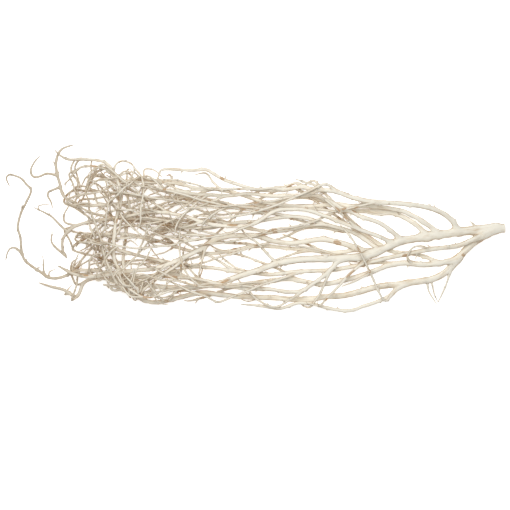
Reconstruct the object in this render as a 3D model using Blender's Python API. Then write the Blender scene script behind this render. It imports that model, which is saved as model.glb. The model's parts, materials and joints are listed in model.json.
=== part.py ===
"""A bleached dried branch, lying on a surface: one grown piece, from its cut butt at +X to its twig tips at -X.

The routes and rules below are in millimetres, X along the branch, Y across it and Z up from the surface. They
become metres when the mesh is made. The finished branch has its origin on the surface, under the middle of
its box.
"""

import math
import random
from typing import NamedTuple

import bpy
import numpy as np

MM = 0.001

# The stems that give the branch its form: name, what it forks from, radius at its root and its tip, and its
# route from root to tip. The first point of a fork is moved to the nearest point of what it grows from.
STEM_ROUTES = (
    ("stem", None, 9.0, 3.4, (
        (497, 2, 8.4), (467, 2, 9.5), (437, 0, 11), (403, -5, 14), (370, -11, 18), (342, -16, 22),
        (305, -20, 27), (281, -24, 31), (255, -37, 36), (229, -49, 40), (197, -57, 43), (149, -58, 47),
        (98, -60, 50), (57, -66, 50), (17, -75, 47), (-24, -89, 42), (-55, -101, 36), (-85, -110, 30),
        (-154, -118, 22), (-219, -112, 20), (-262, -99, 22), (-292, -89, 26), (-328, -82, 32))),
    ("far_hook", "stem", 3.0, 1.8, (
        (-322, -83, 31), (-360, -83, 36), (-392, -96, 36), (-419, -97, 34), (-436, -86, 34), (-451, -76, 36),
        (-468, -61, 40), (-474, -39, 46), (-475, -17, 52), (-480, 4, 56), (-473, 33, 60), (-464, 50, 62),
        (-453, 76, 64), (-462, 89, 66), (-474, 102, 66), (-496, 108, 62), (-502, 100, 60), (-496, 85, 58))),
    ("top_arch", "stem", 5.2, 2.7, (
        (404, -5, 14), (396, 8, 20), (388, 19, 25), (372, 31, 32), (351, 40, 40), (325, 46, 48),
        (294, 50, 56), (262, 52, 62), (218, 56, 66), (186, 63, 68), (160, 73, 70), (139, 77, 70),
        (108, 79, 68), (88, 84, 66), (64, 80, 65), (27, 77, 64), (-6, 79, 64), (-34, 87, 66), (-65, 97, 68),
        (-92, 112, 70), (-104, 118, 70), (-132, 117, 70), (-187, 119, 66), (-196, 110, 64), (-200, 100, 60))),
    ("second_arch", "stem", 4.8, 2.7, (
        (366, -12, 19), (352, 0, 24), (333, 13, 29), (312, 26, 33), (290, 37, 36), (262, 42, 38),
        (218, 45, 38), (186, 47, 38), (160, 49, 38), (108, 46, 38), (57, 46, 40), (27, 50, 42),
        (-14, 62, 46), (-45, 71, 48), (-75, 79, 50), (-116, 81, 50), (-154, 90, 50), (-180, 96, 50),
        (-241, 98, 48), (-266, 92, 46))),
    ("third_arch", "stem", 4.6, 2.4, (
        (342, -16, 21), (332, -4, 22), (322, 6, 22), (308, 16, 21), (286, 27, 20), (262, 34, 18),
        (230, 37, 16), (190, 37, 14), (160, 46, 12), (130, 58, 10), (90, 64, 7.6), (50, 60, 5.3),
        (20, 52, 3.25), (-5, 46, 3.15), (-30, 43, 3.35), (-80, 48, 8), (-130, 60, 14), (-190, 64, 20),
        (-250, 56, 28), (-310, 48, 34), (-360, 50, 40), (-388, 66, 46), (-396, 90, 52), (-402, 112, 58),
        (-403, 130, 60), (-399, 148, 62), (-390, 160, 63), (-376, 166, 62), (-368, 168, 62))),
    ("fourth_arch", "stem", 4.4, 2.7, (
        (288, -21, 30), (274, -9, 38), (257, 4, 44), (238, 14, 49), (214, 21, 52), (203, 25, 53),
        (188, 34, 54), (164, 43, 54), (136, 58, 53), (112, 67, 52), (84, 67, 52), (44, 65, 54), (8, 68, 58),
        (-26, 70, 62), (-66, 66, 66), (-106, 68, 70), (-156, 74, 72), (-216, 82, 70))),
    ("fifth_bough", "stem", 4.2, 2.7, (
        (272, -28, 33), (253, -20, 42), (229, -10, 50), (207, -2, 55), (186, 6, 58), (164, 14, 61),
        (139, 24, 64), (104, 36, 67), (68, 39, 68), (40, 38, 68), (20, 28, 68), (0, 14, 69), (-28, 6, 70),
        (-70, 6, 70), (-110, 14, 70), (-150, 26, 68), (-200, 34, 64), (-250, 28, 58), (-300, 20, 52),
        (-340, 14, 48), (-372, 2, 44), (-390, -18, 40), (-392, -40, 36), (-384, -58, 33))),
    ("sixth_bough", "stem", 4.0, 2.6, (
        (246, -41, 37), (230, -32, 34), (218, -23, 33), (203, -13, 33), (184, -4, 35), (160, 3, 38),
        (129, 11, 42), (104, 20, 45), (68, 25, 47), (37, 22, 48), (-2, 15, 48), (-34, 14, 46), (-65, 8, 44),
        (-100, 2, 42), (-140, 6, 40), (-180, 16, 40), (-230, 20, 42), (-285, 22, 44), (-345, 34, 46))),
    ("seventh_bough", "stem", 5.4, 3.8, (
        (236, -46, 39), (212, -42, 30), (190, -34, 26), (164, -27, 25), (129, -21, 26), (88, -25, 28),
        (57, -27, 30), (27, -23, 33), (2, -15, 36), (-24, -12, 38), (-64, -15, 41), (-92, -25, 43),
        (-114, -38, 44), (-136, -51, 45), (-168, -66, 45), (-208, -78, 46), (-250, -84, 48), (-286, -88, 50),
        (-330, -96, 52), (-366, -90, 54), (-398, -74, 56))),
    ("eighth_bough", "seventh_bough", 3.8, 2.6, (
        (200, -38, 28), (184, -44, 18), (168, -46, 13), (139, -46, 12), (108, -43, 12), (78, -40, 12),
        (37, -36, 12), (4, -34, 13), (-20, -36, 14), (-50, -43, 15), (-85, -48, 16), (-116, -48, 17),
        (-155, -38, 20), (-200, -24, 26), (-250, -12, 32), (-310, -10, 36), (-350, -20, 38))),
    ("low_limb", "stem", 7.2, 3.4, (
        (480, 2, 9), (460, -9, 8.6), (436, -26, 8.2), (412, -49, 8), (392, -74, 7.8), (372, -91, 7.8),
        (348, -101, 8.2), (316, -106, 8), (283, -111, 7.7), (240, -116, 7.1), (207, -125, 6.5),
        (170, -134, 5.9), (139, -136, 5.0), (100, -141, 4.6), (64, -141, 4.7), (27, -138, 7),
        (-34, -136, 14), (-75, -132, 16), (-116, -128, 17), (-160, -138, 18), (-200, -147, 18),
        (-226, -144, 20), (-250, -132, 24), (-276, -118, 28), (-310, -112, 30))),
    ("inner_limb", "low_limb", 5.4, 2.8, (
        (404, -57, 8), (382, -66, 14), (354, -70, 18), (327, -70, 20), (294, -68, 21), (262, -74, 20),
        (229, -85, 18), (200, -95, 17), (165, -105, 18), (130, -109, 20), (92, -106, 23), (60, -100, 25),
        (20, -104, 25), (-22, -112, 22), (-60, -116, 16), (-100, -112, 13), (-140, -98, 13),
        (-180, -90, 14), (-230, -96, 12), (-272, -106, 12), (-315, -98, 14), (-345, -104, 16),
        (-354, -114, 15), (-366, -136, 12), (-392, -122, 11), (-418, -115, 10), (-440, -108, 9))),
    ("middle_limb", "low_limb", 4.8, 2.7, (
        (462, -8, 9), (448, -14, 15.5), (430, -22, 21.5), (402, -33, 27), (366, -38, 31), (332, -43, 34),
        (296, -50, 33), (260, -58, 28), (226, -66, 29), (190, -75, 31), (150, -82, 31), (110, -84, 34),
        (70, -86, 36), (28, -91, 35), (-12, -88, 30), (-50, -84, 26), (-90, -78, 24), (-140, -73, 24),
        (-190, -64, 28), (-236, -54, 38), (-280, -42, 43), (-324, -34, 44))),
    ("cross_limb", "inner_limb", 3.8, 2.5, (
        (366, -68, 17), (340, -56, 12), (316, -50, 10), (290, -48, 10), (266, -44, 11), (244, -30, 12),
        (222, -16, 12), (196, -6, 12), (160, -2, 13), (120, 4, 14), (84, 2, 16), (50, -4, 18), (14, -4, 18),
        (-30, 4, 18), (-76, 16, 20), (-120, 14, 22), (-164, 0, 24), (-214, -4, 28))),
    ("crossing_limb", "stem", 4.0, 2.7, (
        (176, -58, 45), (160, -66, 48), (146, -80, 48), (129, -96, 44), (108, -111, 38), (86, -124, 32),
        (56, -126, 30), (20, -120, 33), (-24, -120, 38), (-70, -112, 43), (-120, -100, 44),
        (-170, -97, 42), (-215, -92, 38))),
    ("bottom_hump", "low_limb", 4.0, 2.5, (
        (300, -108, 7), (281, -121, 8), (264, -135, 9), (240, -146, 10), (212, -155, 11), (190, -163, 12),
        (164, -163, 13), (134, -157, 15), (108, -150, 17), (78, -149, 18), (48, -159, 18), (32, -159, 18),
        (4, -154, 19), (-34, -151, 22))),
    ("upright", "seventh_bough", 3.8, 2.3, (
        (-276, -87, 50), (-286, -62, 58), (-288, -28, 64), (-285, 6, 68), (-278, 36, 72), (-273, 62, 76),
        (-278, 92, 78), (-292, 120, 78), (-310, 134, 76), (-345, 139, 74), (-378, 138, 72),
        (-397, 148, 74), (-404, 156, 74))),
    ("second_upright", "stem", 3.3, 2.1, (
        (-250, -104, 22), (-268, -84, 30), (-270, -52, 32), (-266, -20, 27), (-262, 14, 27),
        (-258, 44, 38), (-264, 76, 58), (-276, 100, 64), (-286, 110, 68))),
    ("knot_arc", "upright", 2.5, 1.8, (
        (-288, 112, 78), (-312, 122, 84), (-346, 124, 84), (-362, 115, 82), (-374, 100, 80),
        (-386, 88, 78))),
    ("knot_drop", "upright", 2.6, 1.8, (
        (-296, 122, 78), (-320, 114, 70), (-334, 100, 66), (-341, 82, 62), (-348, 64, 58))),
    ("top_loop", "upright", 2.1, 1.6, (
        (-281, 98, 78), (-286, 118, 90), (-276, 133, 92), (-262, 134, 90), (-249, 126, 88),
        (-246, 116, 86), (-253, 102, 82), (-258, 90, 80))),
    ("left_hook", "third_arch", 2.3, 1.6, (
        (-402, 108, 57), (-421, 110, 60), (-438, 104, 62), (-450, 106, 63), (-453, 119, 64),
        (-444, 137, 65), (-434, 146, 66))),
    ("left_bow", "third_arch", 2.3, 1.6, (
        (-394, 84, 50), (-408, 80, 46), (-420, 74, 44), (-421, 66, 42), (-414, 54, 42), (-411, 42, 42))),
    ("left_runner", "fifth_bough", 2.3, 1.4, (
        (-380, -6, 43), (-398, 10, 46), (-412, 24, 48), (-429, 34, 50), (-448, 43, 52))),
    ("low_left_hook", "fifth_bough", 2.4, 1.6, (
        (-388, -52, 34), (-400, -42, 30), (-412, -30, 28), (-415, -20, 26), (-413, -6, 26))),
    ("far_side_hook", "far_hook", 2.1, 1.4, (
        (-472, -50, 43), (-484, -38, 46), (-496, -39, 48), (-502, -50, 48), (-505, -64, 46))),
    ("far_thorn", "far_hook", 1.8, 1.3, (
        (-426, -94, 34), (-430, -84, 36), (-430, -66, 40), (-432, -54, 42))),
    ("v_twig", "low_limb", 2.1, 1.4, (
        (394, -72, 8), (385, -94, 10), (376, -118, 11), (366, -140, 10), (362, -148, 9))),
    ("v_twig_side", "low_limb", 1.9, 1.3, (
        (342, -103, 8), (343, -120, 5), (350, -136, 4), (360, -151, 4))),
    ("v_twig_middle", "low_limb", 1.8, 1.3, (
        (350, -100, 8), (352, -117, 8), (356, -132, 7.5), (363, -146, 6))),
    ("thin_runner", "low_limb", 2.0, 1.3, (
        (432, -18, 9), (410, -30, 13), (384, -35, 15), (352, -36, 15), (322, -36, 15))),
    ("front_curl", "inner_limb", 2.4, 1.6, (
        (308, -69, 21), (300, -60, 34), (302, -48, 42), (310, -38, 46), (324, -34, 48), (338, -37, 49))),
    ("top_stub", "stem", 2.0, 1.5, ((444, 0, 11), (431, 11, 15), (423, 18, 17))),
    ("spur_twig", "third_arch", 2.2, 1.7, (
        (270, 32, 18), (254, 30, 22), (236, 30, 24), (222, 32, 25), (211, 36, 26))),
    ("outer_spur", "top_arch", 2.6, 2.0, (
        (130, 78, 70), (112, 88, 74), (96, 92, 76), (84, 96, 78), (74, 99, 78))),
    ("shelf_twig", "second_arch", 2.6, 2.0, (
        (-150, 89, 50), (-170, 92, 56), (-200, 92, 58), (-232, 88, 59), (-262, 84, 60))),
)

SEED = 41
SPACING = 6.0           # between the points of a line
TAPER = 0.85            # below 1 a shoot keeps its thickness for longer
CLEARANCE = 0.8         # free air between two shoots
FLOOR_GAP = 1.5         # free air under a grown shoot
HIGHEST = 124.0         # no grown shoot passes this height
GOLDEN_ANGLE = 137.5    # turn round the parent from one shoot to the next, in degrees

# How far grown shoots reach at a few places along the branch: behind, in front and up. Past the end only the
# placed hooks go on.
REACH_X = (-400, -330, -290, -250, -200, -100, -40, 60, 160, 260, 360, 460)
REACH_BACK = (66, 84, 122, 106, 100, 100, 100, 86, 80, 60, 36, 12)
REACH_FRONT = (-72, -88, -98, -120, -140, -146, -142, -146, -140, -118, -108, -30)
REACH_TOP = (86, 100, 108, 110, 110, 106, 102, 92, 82, 68, 52, 24)
REACH_END = -408
RAGGED_END = 46         # how much shorter some of them stay

# What the solid is made of, by the radius of a shoot's root: its sides, and how far a straight run may lie from
# the grown line. Near the surface the line is followed more closely, so that the feet keep their place.
FACETS_BY_RADIUS = ((6.0, 8, 1.4), (3.4, 6, 1.6), (0.0, 4, 3.0))
FOOT_HEIGHT = 9.0
FOOT_CARE = 5.0

BLEACHED_WOOD = (0.80, 0.71, 0.56, 1.0)
WOOD_ROUGHNESS = 0.78


class Rule(NamedTuple):
    """How one generation of side shoots grows."""

    name: str
    spacing: tuple      # between shoots, near the cut end and among the tips
    bare_tip: float     # stretch at a parent's tip that carries none
    fork: tuple         # least and most angle to the parent, in degrees
    stretch: tuple      # lowest and highest X of their roots
    flatness: float     # how far they spread up and down, against across
    length: tuple
    internode: float    # straight run between two buds
    curl: float         # usual turn at a bud, in degrees
    wander: float       # random part of that turn
    radius: tuple       # at the root
    tip: float
    shortest: float
    tries: int


RUNNERS = Rule("runner", spacing=(48, 84), bare_tip=60, fork=(9, 24), stretch=(-230, 300), flatness=0.9,
               length=(150, 330), internode=30, curl=4.5, wander=0.08, radius=(2.2, 3.5), tip=1.9,
               shortest=70, tries=10)
SIDE_SHOOTS = Rule("side_shoot", spacing=(520, 100), bare_tip=14, fork=(22, 56), stretch=(-380, 120),
                   flatness=0.8, length=(60, 150), internode=20, curl=11, wander=0.17, radius=(2.0, 3.0),
                   tip=1.6, shortest=30, tries=8)


class Shoot:
    """A stem or a twig: the points of its middle line, its radius at each, and what it grows from."""

    def __init__(self, name, parent, line, root_radius, tip_radius):
        self.name = name
        self.parent = parent
        self.line = line
        self.along = distances_along(line)
        share_left = 1 - self.along / self.along[-1]
        self.radii = tip_radius + (root_radius - tip_radius) * share_left ** TAPER


def distances_along(line):
    steps = np.sqrt((np.diff(line, axis=0) ** 2).sum(axis=1))
    return np.concatenate([[0.0], np.cumsum(steps)])


def smooth_line(route, spacing):
    """Points about spacing apart on a smooth curve through the route's points."""
    knots = np.array(route, float)
    padded = np.vstack([2 * knots[0] - knots[1], knots, 2 * knots[-1] - knots[-2]])
    line = [knots[0]]
    for a, b, c, d in zip(padded, padded[1:], padded[2:], padded[3:]):
        steps = max(1, round(float(np.sqrt(((c - b) ** 2).sum())) / spacing))
        for t in np.arange(1, steps + 1) / steps:
            line.append(0.5 * (2 * b + (c - a) * t + (2 * a - 5 * b + 4 * c - d) * t ** 2
                               + (3 * b - a - 3 * c + d) * t ** 3))
    return np.array(line)


def unit(vector):
    return vector / max(1e-9, float(np.sqrt((vector ** 2).sum())))


def turned(vector, axis, angle):
    """The vector turned about the axis by the angle in radians."""
    cosine, sine = math.cos(angle), math.sin(angle)
    return (vector * cosine + np.cross(axis, vector) * sine
            + axis * float((axis * vector).sum()) * (1 - cosine))


def placed_stems():
    """The stems that were placed by hand, each joined to what it forks from."""
    stems = {}
    for name, parent_name, root_radius, tip_radius, route in STEM_ROUTES:
        parent = stems.get(parent_name)
        route = [np.array(point, float) for point in route]
        if parent is not None:
            route[0] = parent.line[int(((parent.line - route[0]) ** 2).sum(axis=1).argmin())]
        stems[name] = Shoot(name, parent, smooth_line(route, SPACING), root_radius, tip_radius)
    return list(stems.values())


class Occupied:
    """The space that shoots already take, so that new ones keep clear of it."""

    MOST_REACH = 20.0   # more than two of the thickest radii and the clearance

    def __init__(self, shoots):
        self.points = np.vstack([shoot.line for shoot in shoots])
        self.radii = np.concatenate([shoot.radii for shoot in shoots])
        self.owners = np.concatenate([np.full(len(shoot.line), k) for k, shoot in enumerate(shoots)])

    def add(self, shoot, owner):
        self.points = np.vstack([self.points, shoot.line])
        self.radii = np.concatenate([self.radii, shoot.radii])
        self.owners = np.concatenate([self.owners, np.full(len(shoot.line), owner)])

    def clear_length(self, shoot, parent_owner, free):
        """How many points of the shoot are clear of all but its parent's bark near its root."""
        line, root = shoot.line, shoot.line[0]
        near = ((self.points > line.min(axis=0) - self.MOST_REACH)
                & (self.points < line.max(axis=0) + self.MOST_REACH)).all(axis=1)
        own_bark = (self.owners == parent_owner) & (((self.points - root) ** 2).sum(axis=1) < free ** 2)
        near &= ~own_bark
        if not near.any():
            return len(line)
        apart = np.sqrt(((line[:, None, :] - self.points[None, near, :]) ** 2).sum(axis=2))
        room = (apart - shoot.radii[:, None] - self.radii[None, near]).min(axis=1)
        past_fork = ((line - root) ** 2).sum(axis=1) > free ** 2
        blocked = np.nonzero((room < CLEARANCE) & past_fork)[0]
        return int(blocked[0]) if len(blocked) else len(line)


def steered(point, heading):
    """The heading, bent back where the point nears the edge of the branch's outline or the surface."""
    x, y, z = point
    behind = max(0.0, y - np.interp(x, REACH_X, REACH_BACK) + 12)
    in_front = max(0.0, np.interp(x, REACH_X, REACH_FRONT) + 12 - y)
    above = max(0.0, z - np.interp(x, REACH_X, REACH_TOP) + 10)
    low = max(0.0, 12 - z)
    past_end = max(0.0, REACH_END + 14 + RAGGED_END * abs(math.sin(y / 15 + z / 21)) - x)
    push = np.array([past_end / 8, (in_front - behind) / 14, low / 9 - above / 12])
    return unit(heading + push * 0.5)


def twig_route(draw, root, heading, length, rule, curl):
    """Points of a twig that goes straight between its buds, turns a little at each, and hooks at its end."""
    axis = unit(np.array([draw.gauss(0, 0.45), draw.gauss(0, 0.45), draw.choice((-1, 1))]))
    turn = abs(draw.gauss(curl, curl * 0.6))
    route = [root]
    travelled = 0.0
    while travelled < length:
        step = rule.internode * draw.uniform(0.7, 1.3)
        route.append(route[-1] + heading * step)
        travelled += step
        hook = 1.0 + 1.2 * max(0.0, travelled / length - 0.6)
        heading = turned(heading, axis, turn * hook * draw.uniform(-0.5, 2.0))
        jitter = np.array([draw.gauss(0, rule.wander) for _ in range(3)])
        heading = steered(route[-1], unit(heading + jitter))
    return route


def spacing_at(x, spacing):
    """How far apart side shoots are at x, from the cut end's spacing to the tips'."""
    at_cut_end, at_tips = spacing
    return float(np.interp(x, (-260, -60, 140, 340), (at_tips, at_tips * 1.2, at_cut_end * 0.6, at_cut_end)))


def out_of_bark(parent, k, spin, flatness):
    """The parent's heading at its point k, and the way out of its bark at the angle spin round it."""
    ahead = unit(parent.line[min(k + 1, len(parent.line) - 1)] - parent.line[k - 1])
    across = unit(np.cross(ahead, np.array([0.0, 0.0, 1.0])))
    up = np.cross(across, ahead)
    return ahead, unit(across * math.cos(spin) + up * math.sin(spin) * flatness)


def one_try(draw, rule, parent, k, ahead, out, name):
    root = parent.line[k]
    fork = math.radians(draw.uniform(*rule.fork))
    curl = math.radians(rule.curl * float(np.interp(root[0], (-260, 120), (1.0, 0.35))))
    length = draw.uniform(*rule.length) * float(np.interp(root[0], (-430, -270), (0.45, 1.0)))
    heading = ahead * math.cos(fork) + out * math.sin(fork)
    route = twig_route(draw, root, heading, length, rule, curl)
    root_radius = min(parent.radii[k] * 0.66, draw.uniform(*rule.radius))
    return Shoot(name, parent, smooth_line(route, SPACING), root_radius, min(root_radius, rule.tip))


def usable_points(shoot, occupied, parent_owner, free):
    """How many points of the shoot keep clear of the others, of the surface and of the highest level."""
    keep = occupied.clear_length(shoot, parent_owner, free)
    heights = shoot.line[:, 2]
    astray = np.nonzero((heights < shoot.radii + FLOOR_GAP) | (heights > HIGHEST))[0]
    return min(keep, int(astray[0])) if len(astray) else keep


def grow(shoots, occupied, rule, seed):
    """Adds one generation: side shoots on every shoot so far, taking turns round it and keeping clear."""
    draw = random.Random(seed)
    count = 0
    for owner, parent in enumerate(list(shoots)):
        spin = draw.uniform(0, 2 * math.pi)
        at = draw.uniform(0.5, 1.0) * spacing_at(parent.line[0][0], rule.spacing)
        while at < parent.along[-1] - rule.bare_tip:
            k = int(np.searchsorted(parent.along, at))
            root = parent.line[k]
            if not rule.stretch[0] < root[0] < rule.stretch[1]:
                at += rule.spacing[1]
                continue
            spin += math.radians(GOLDEN_ANGLE) + draw.gauss(0, 0.3)
            ahead, out = out_of_bark(parent, k, spin, rule.flatness)
            name = f"{rule.name}_{count}"
            best, best_keep = None, 0
            for _ in range(rule.tries):
                shoot = one_try(draw, rule, parent, k, ahead, out, name)
                keep = usable_points(shoot, occupied, owner, parent.radii[k] + shoot.radii[0] + 9)
                if keep > best_keep:
                    best, best_keep = shoot, keep
                if keep == len(shoot.line):
                    break
            if best_keep * SPACING > rule.shortest:
                shoot = Shoot(name, parent, best.line[:best_keep], best.radii[0], best.radii[-1])
                shoots.append(shoot)
                occupied.add(shoot, len(shoots) - 1)
                count += 1
            at += spacing_at(root[0], rule.spacing) * draw.uniform(0.7, 1.3)


def grown_branch(generations):
    """Every shoot of the branch, the placed ones first."""
    shoots = placed_stems()
    occupied = Occupied(shoots)
    for number, rule in enumerate(generations):
        grow(shoots, occupied, rule, SEED + number)
    return shoots


def farthest_from_run(line, first, last):
    """The point between first and last that is farthest from their straight run, and how far it is."""
    start, run = line[first], line[last] - line[first]
    between = line[first + 1:last] - start
    share = np.clip(between @ run / max(1e-9, float(run @ run)), 0, 1)
    off = np.sqrt(((between - share[:, None] * run) ** 2).sum(axis=1))
    off = np.where(line[first + 1:last, 2] < FOOT_HEIGHT, off * FOOT_CARE, off)
    worst = int(off.argmax())
    return first + 1 + worst, float(off[worst])


def ring_places(line, run_error):
    """The points of the line that its solid keeps, so that straight runs between them stay near it."""
    kept = {0, len(line) - 1}
    runs = [(0, len(line) - 1)]
    while runs:
        first, last = runs.pop()
        if last - first < 2:
            continue
        worst, off = farthest_from_run(line, first, last)
        if off > run_error:
            kept.add(worst)
            runs += [(first, worst), (worst, last)]
    return sorted(kept)


def ring_headings(points):
    """At each ring, the mean of the directions of the runs on its two sides."""
    runs = [unit(b - a) for a, b in zip(points, points[1:])]
    return [unit(a + b) for a, b in zip([runs[0]] + runs, runs + [runs[-1]])]


def tube_mesh(shoot):
    """A closed tube along the shoot, its rings turned as little as possible, with a flat root and a point."""
    sides, run_error = next(facets for least, *facets in FACETS_BY_RADIUS if shoot.radii[0] >= least)
    places = ring_places(shoot.line, run_error)
    points = shoot.line[places]
    # The ring's corners lie outside the round section, so that the faceted tube holds as much wood.
    fatter = math.sqrt(2 * math.pi / (sides * math.sin(2 * math.pi / sides)))
    across = np.array([0.0, 0.0, -1.0])
    corners = []
    for point, heading, radius in zip(points[:-1], ring_headings(points), shoot.radii[places]):
        across = unit(across - heading * float(across @ heading))
        beside = np.cross(heading, across)
        for corner in range(sides):
            angle = 2 * math.pi * corner / sides
            corners.append(point + (across * math.cos(angle) + beside * math.sin(angle)) * radius * fatter)
    corners.append(points[-1])
    tip = len(corners) - 1
    faces = [tuple(reversed(range(sides)))]
    for ring in range(0, tip - sides, sides):
        for corner in range(sides):
            beside_corner = (corner + 1) % sides
            faces.append((ring + corner, ring + beside_corner, ring + sides + beside_corner,
                          ring + sides + corner))
    last_ring = tip - sides
    faces += [(last_ring + corner, last_ring + (corner + 1) % sides, tip) for corner in range(sides)]
    mesh = bpy.data.meshes.new(shoot.name)
    mesh.from_pydata([tuple(float(value) * MM for value in corner) for corner in corners], [], faces)
    return mesh


def fused(shoots):
    """All the shoots as one solid: the first, with a union of the rest."""
    branch = bpy.data.objects.new("branch", tube_mesh(shoots[0]))
    bpy.context.scene.collection.objects.link(branch)
    twigs = bpy.data.collections.new("twigs")
    bpy.context.scene.collection.children.link(twigs)
    for shoot in shoots[1:]:
        twigs.objects.link(bpy.data.objects.new(shoot.name, tube_mesh(shoot)))
    union = branch.modifiers.new("union", "BOOLEAN")
    union.operation = "UNION"
    union.operand_type = "COLLECTION"
    union.collection = twigs
    union.solver = "MANIFOLD"
    apply_modifiers(branch)
    for twig in list(twigs.objects):
        bpy.data.objects.remove(twig)
    bpy.data.collections.remove(twigs)
    return branch


def apply_modifiers(obj):
    graph = bpy.context.evaluated_depsgraph_get()
    mesh = bpy.data.meshes.new_from_object(obj.evaluated_get(graph))
    obj.modifiers.clear()
    obj.data = mesh


def cut_feet(branch):
    """Cuts off what lies under the surface, which leaves small flats to rest on."""
    bpy.ops.mesh.primitive_cube_add(size=2, location=(0, 0, -1))
    below = bpy.context.object
    cut = branch.modifiers.new("cut", "BOOLEAN")
    cut.operation = "DIFFERENCE"
    cut.object = below
    cut.solver = "MANIFOLD"
    apply_modifiers(branch)
    bpy.data.objects.remove(below)


def keep_largest_body(mesh):
    """Drops every loose scrap and every sealed hollow that the union left."""
    ends = np.empty(len(mesh.edges) * 2, int)
    mesh.edges.foreach_get("vertices", ends)
    ends = ends.reshape(-1, 2)
    body = np.arange(len(mesh.vertices))
    while True:
        least = np.minimum(body[ends[:, 0]], body[ends[:, 1]])
        before = body.copy()
        np.minimum.at(body, ends[:, 0], least)
        np.minimum.at(body, ends[:, 1], least)
        body = body[body]
        if (body == before).all():
            break
    largest = np.bincount(body).argmax()
    kept = np.nonzero(body == largest)[0]
    if len(kept) == len(body):
        return
    renumbered = {int(old): new for new, old in enumerate(kept)}
    points = [tuple(mesh.vertices[old].co) for old in renumbered]
    faces = [tuple(renumbered[v] for v in face.vertices) for face in mesh.polygons
             if face.vertices[0] in renumbered]
    mesh.clear_geometry()
    mesh.from_pydata(points, [], faces)


def centre_on_origin(mesh):
    """Moves the branch along the surface, so that the origin is under the middle of its box."""
    points = np.empty(len(mesh.vertices) * 3, np.float32)
    mesh.vertices.foreach_get("co", points)
    points = points.reshape(-1, 3)
    points[:, :2] -= (points[:, :2].min(axis=0) + points[:, :2].max(axis=0)) / 2
    mesh.vertices.foreach_set("co", points.ravel())
    mesh.update()


def bleached_wood():
    material = bpy.data.materials.new("bleached_wood")
    material.use_nodes = True
    shader = material.node_tree.nodes["Principled BSDF"]
    shader.inputs["Base Color"].default_value = BLEACHED_WOOD
    shader.inputs["Roughness"].default_value = WOOD_ROUGHNESS
    shader.inputs["Metallic"].default_value = 0.0
    return material


def main():
    for obj in list(bpy.data.objects):
        bpy.data.objects.remove(obj)
    branch = fused(grown_branch((RUNNERS, SIDE_SHOOTS)))
    cut_feet(branch)
    keep_largest_body(branch.data)
    centre_on_origin(branch.data)
    branch.data.materials.clear()
    branch.data.materials.append(bleached_wood())
    branch.data.shade_smooth()
    branch.data.set_sharp_from_angle(angle=math.radians(50))


if __name__ == "__main__":
    main()
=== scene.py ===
"""Bleached dried branch: the fine surface of the whole branch, and a plain studio to show it in."""

import functools
import json
import math
import random
from typing import NamedTuple

import bpy
import numpy as np
from mathutils import Matrix, Vector

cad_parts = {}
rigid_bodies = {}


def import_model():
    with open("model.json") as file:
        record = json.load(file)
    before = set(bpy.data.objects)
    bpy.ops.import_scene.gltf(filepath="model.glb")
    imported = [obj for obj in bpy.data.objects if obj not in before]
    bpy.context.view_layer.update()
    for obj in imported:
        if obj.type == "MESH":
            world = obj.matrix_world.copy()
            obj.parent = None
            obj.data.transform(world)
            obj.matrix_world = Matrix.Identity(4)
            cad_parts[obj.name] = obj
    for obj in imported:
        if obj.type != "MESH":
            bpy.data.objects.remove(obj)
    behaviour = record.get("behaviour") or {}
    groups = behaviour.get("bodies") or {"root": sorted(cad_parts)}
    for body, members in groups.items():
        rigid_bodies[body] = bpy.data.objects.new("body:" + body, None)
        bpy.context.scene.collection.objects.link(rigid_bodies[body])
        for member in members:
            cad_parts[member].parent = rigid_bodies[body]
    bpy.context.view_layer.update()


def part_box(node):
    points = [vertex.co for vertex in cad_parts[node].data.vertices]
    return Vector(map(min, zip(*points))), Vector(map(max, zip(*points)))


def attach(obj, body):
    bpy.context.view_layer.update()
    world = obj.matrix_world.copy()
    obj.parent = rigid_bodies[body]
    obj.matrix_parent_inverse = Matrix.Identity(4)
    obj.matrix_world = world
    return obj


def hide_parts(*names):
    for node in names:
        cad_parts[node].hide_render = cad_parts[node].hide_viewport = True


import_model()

bl_info = {
    "name": "Bleached dried branch",
    "version": (1, 0, 0),
    "blender": (4, 5, 0),
    "location": "3D View > Sidebar > Branch",
    "description": "Grows a bleached dried branch: heavy wood, twigs, knots, bark and cut face",
    "category": "Add Mesh",
}

MM = 0.001
BODY = "root"

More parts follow.
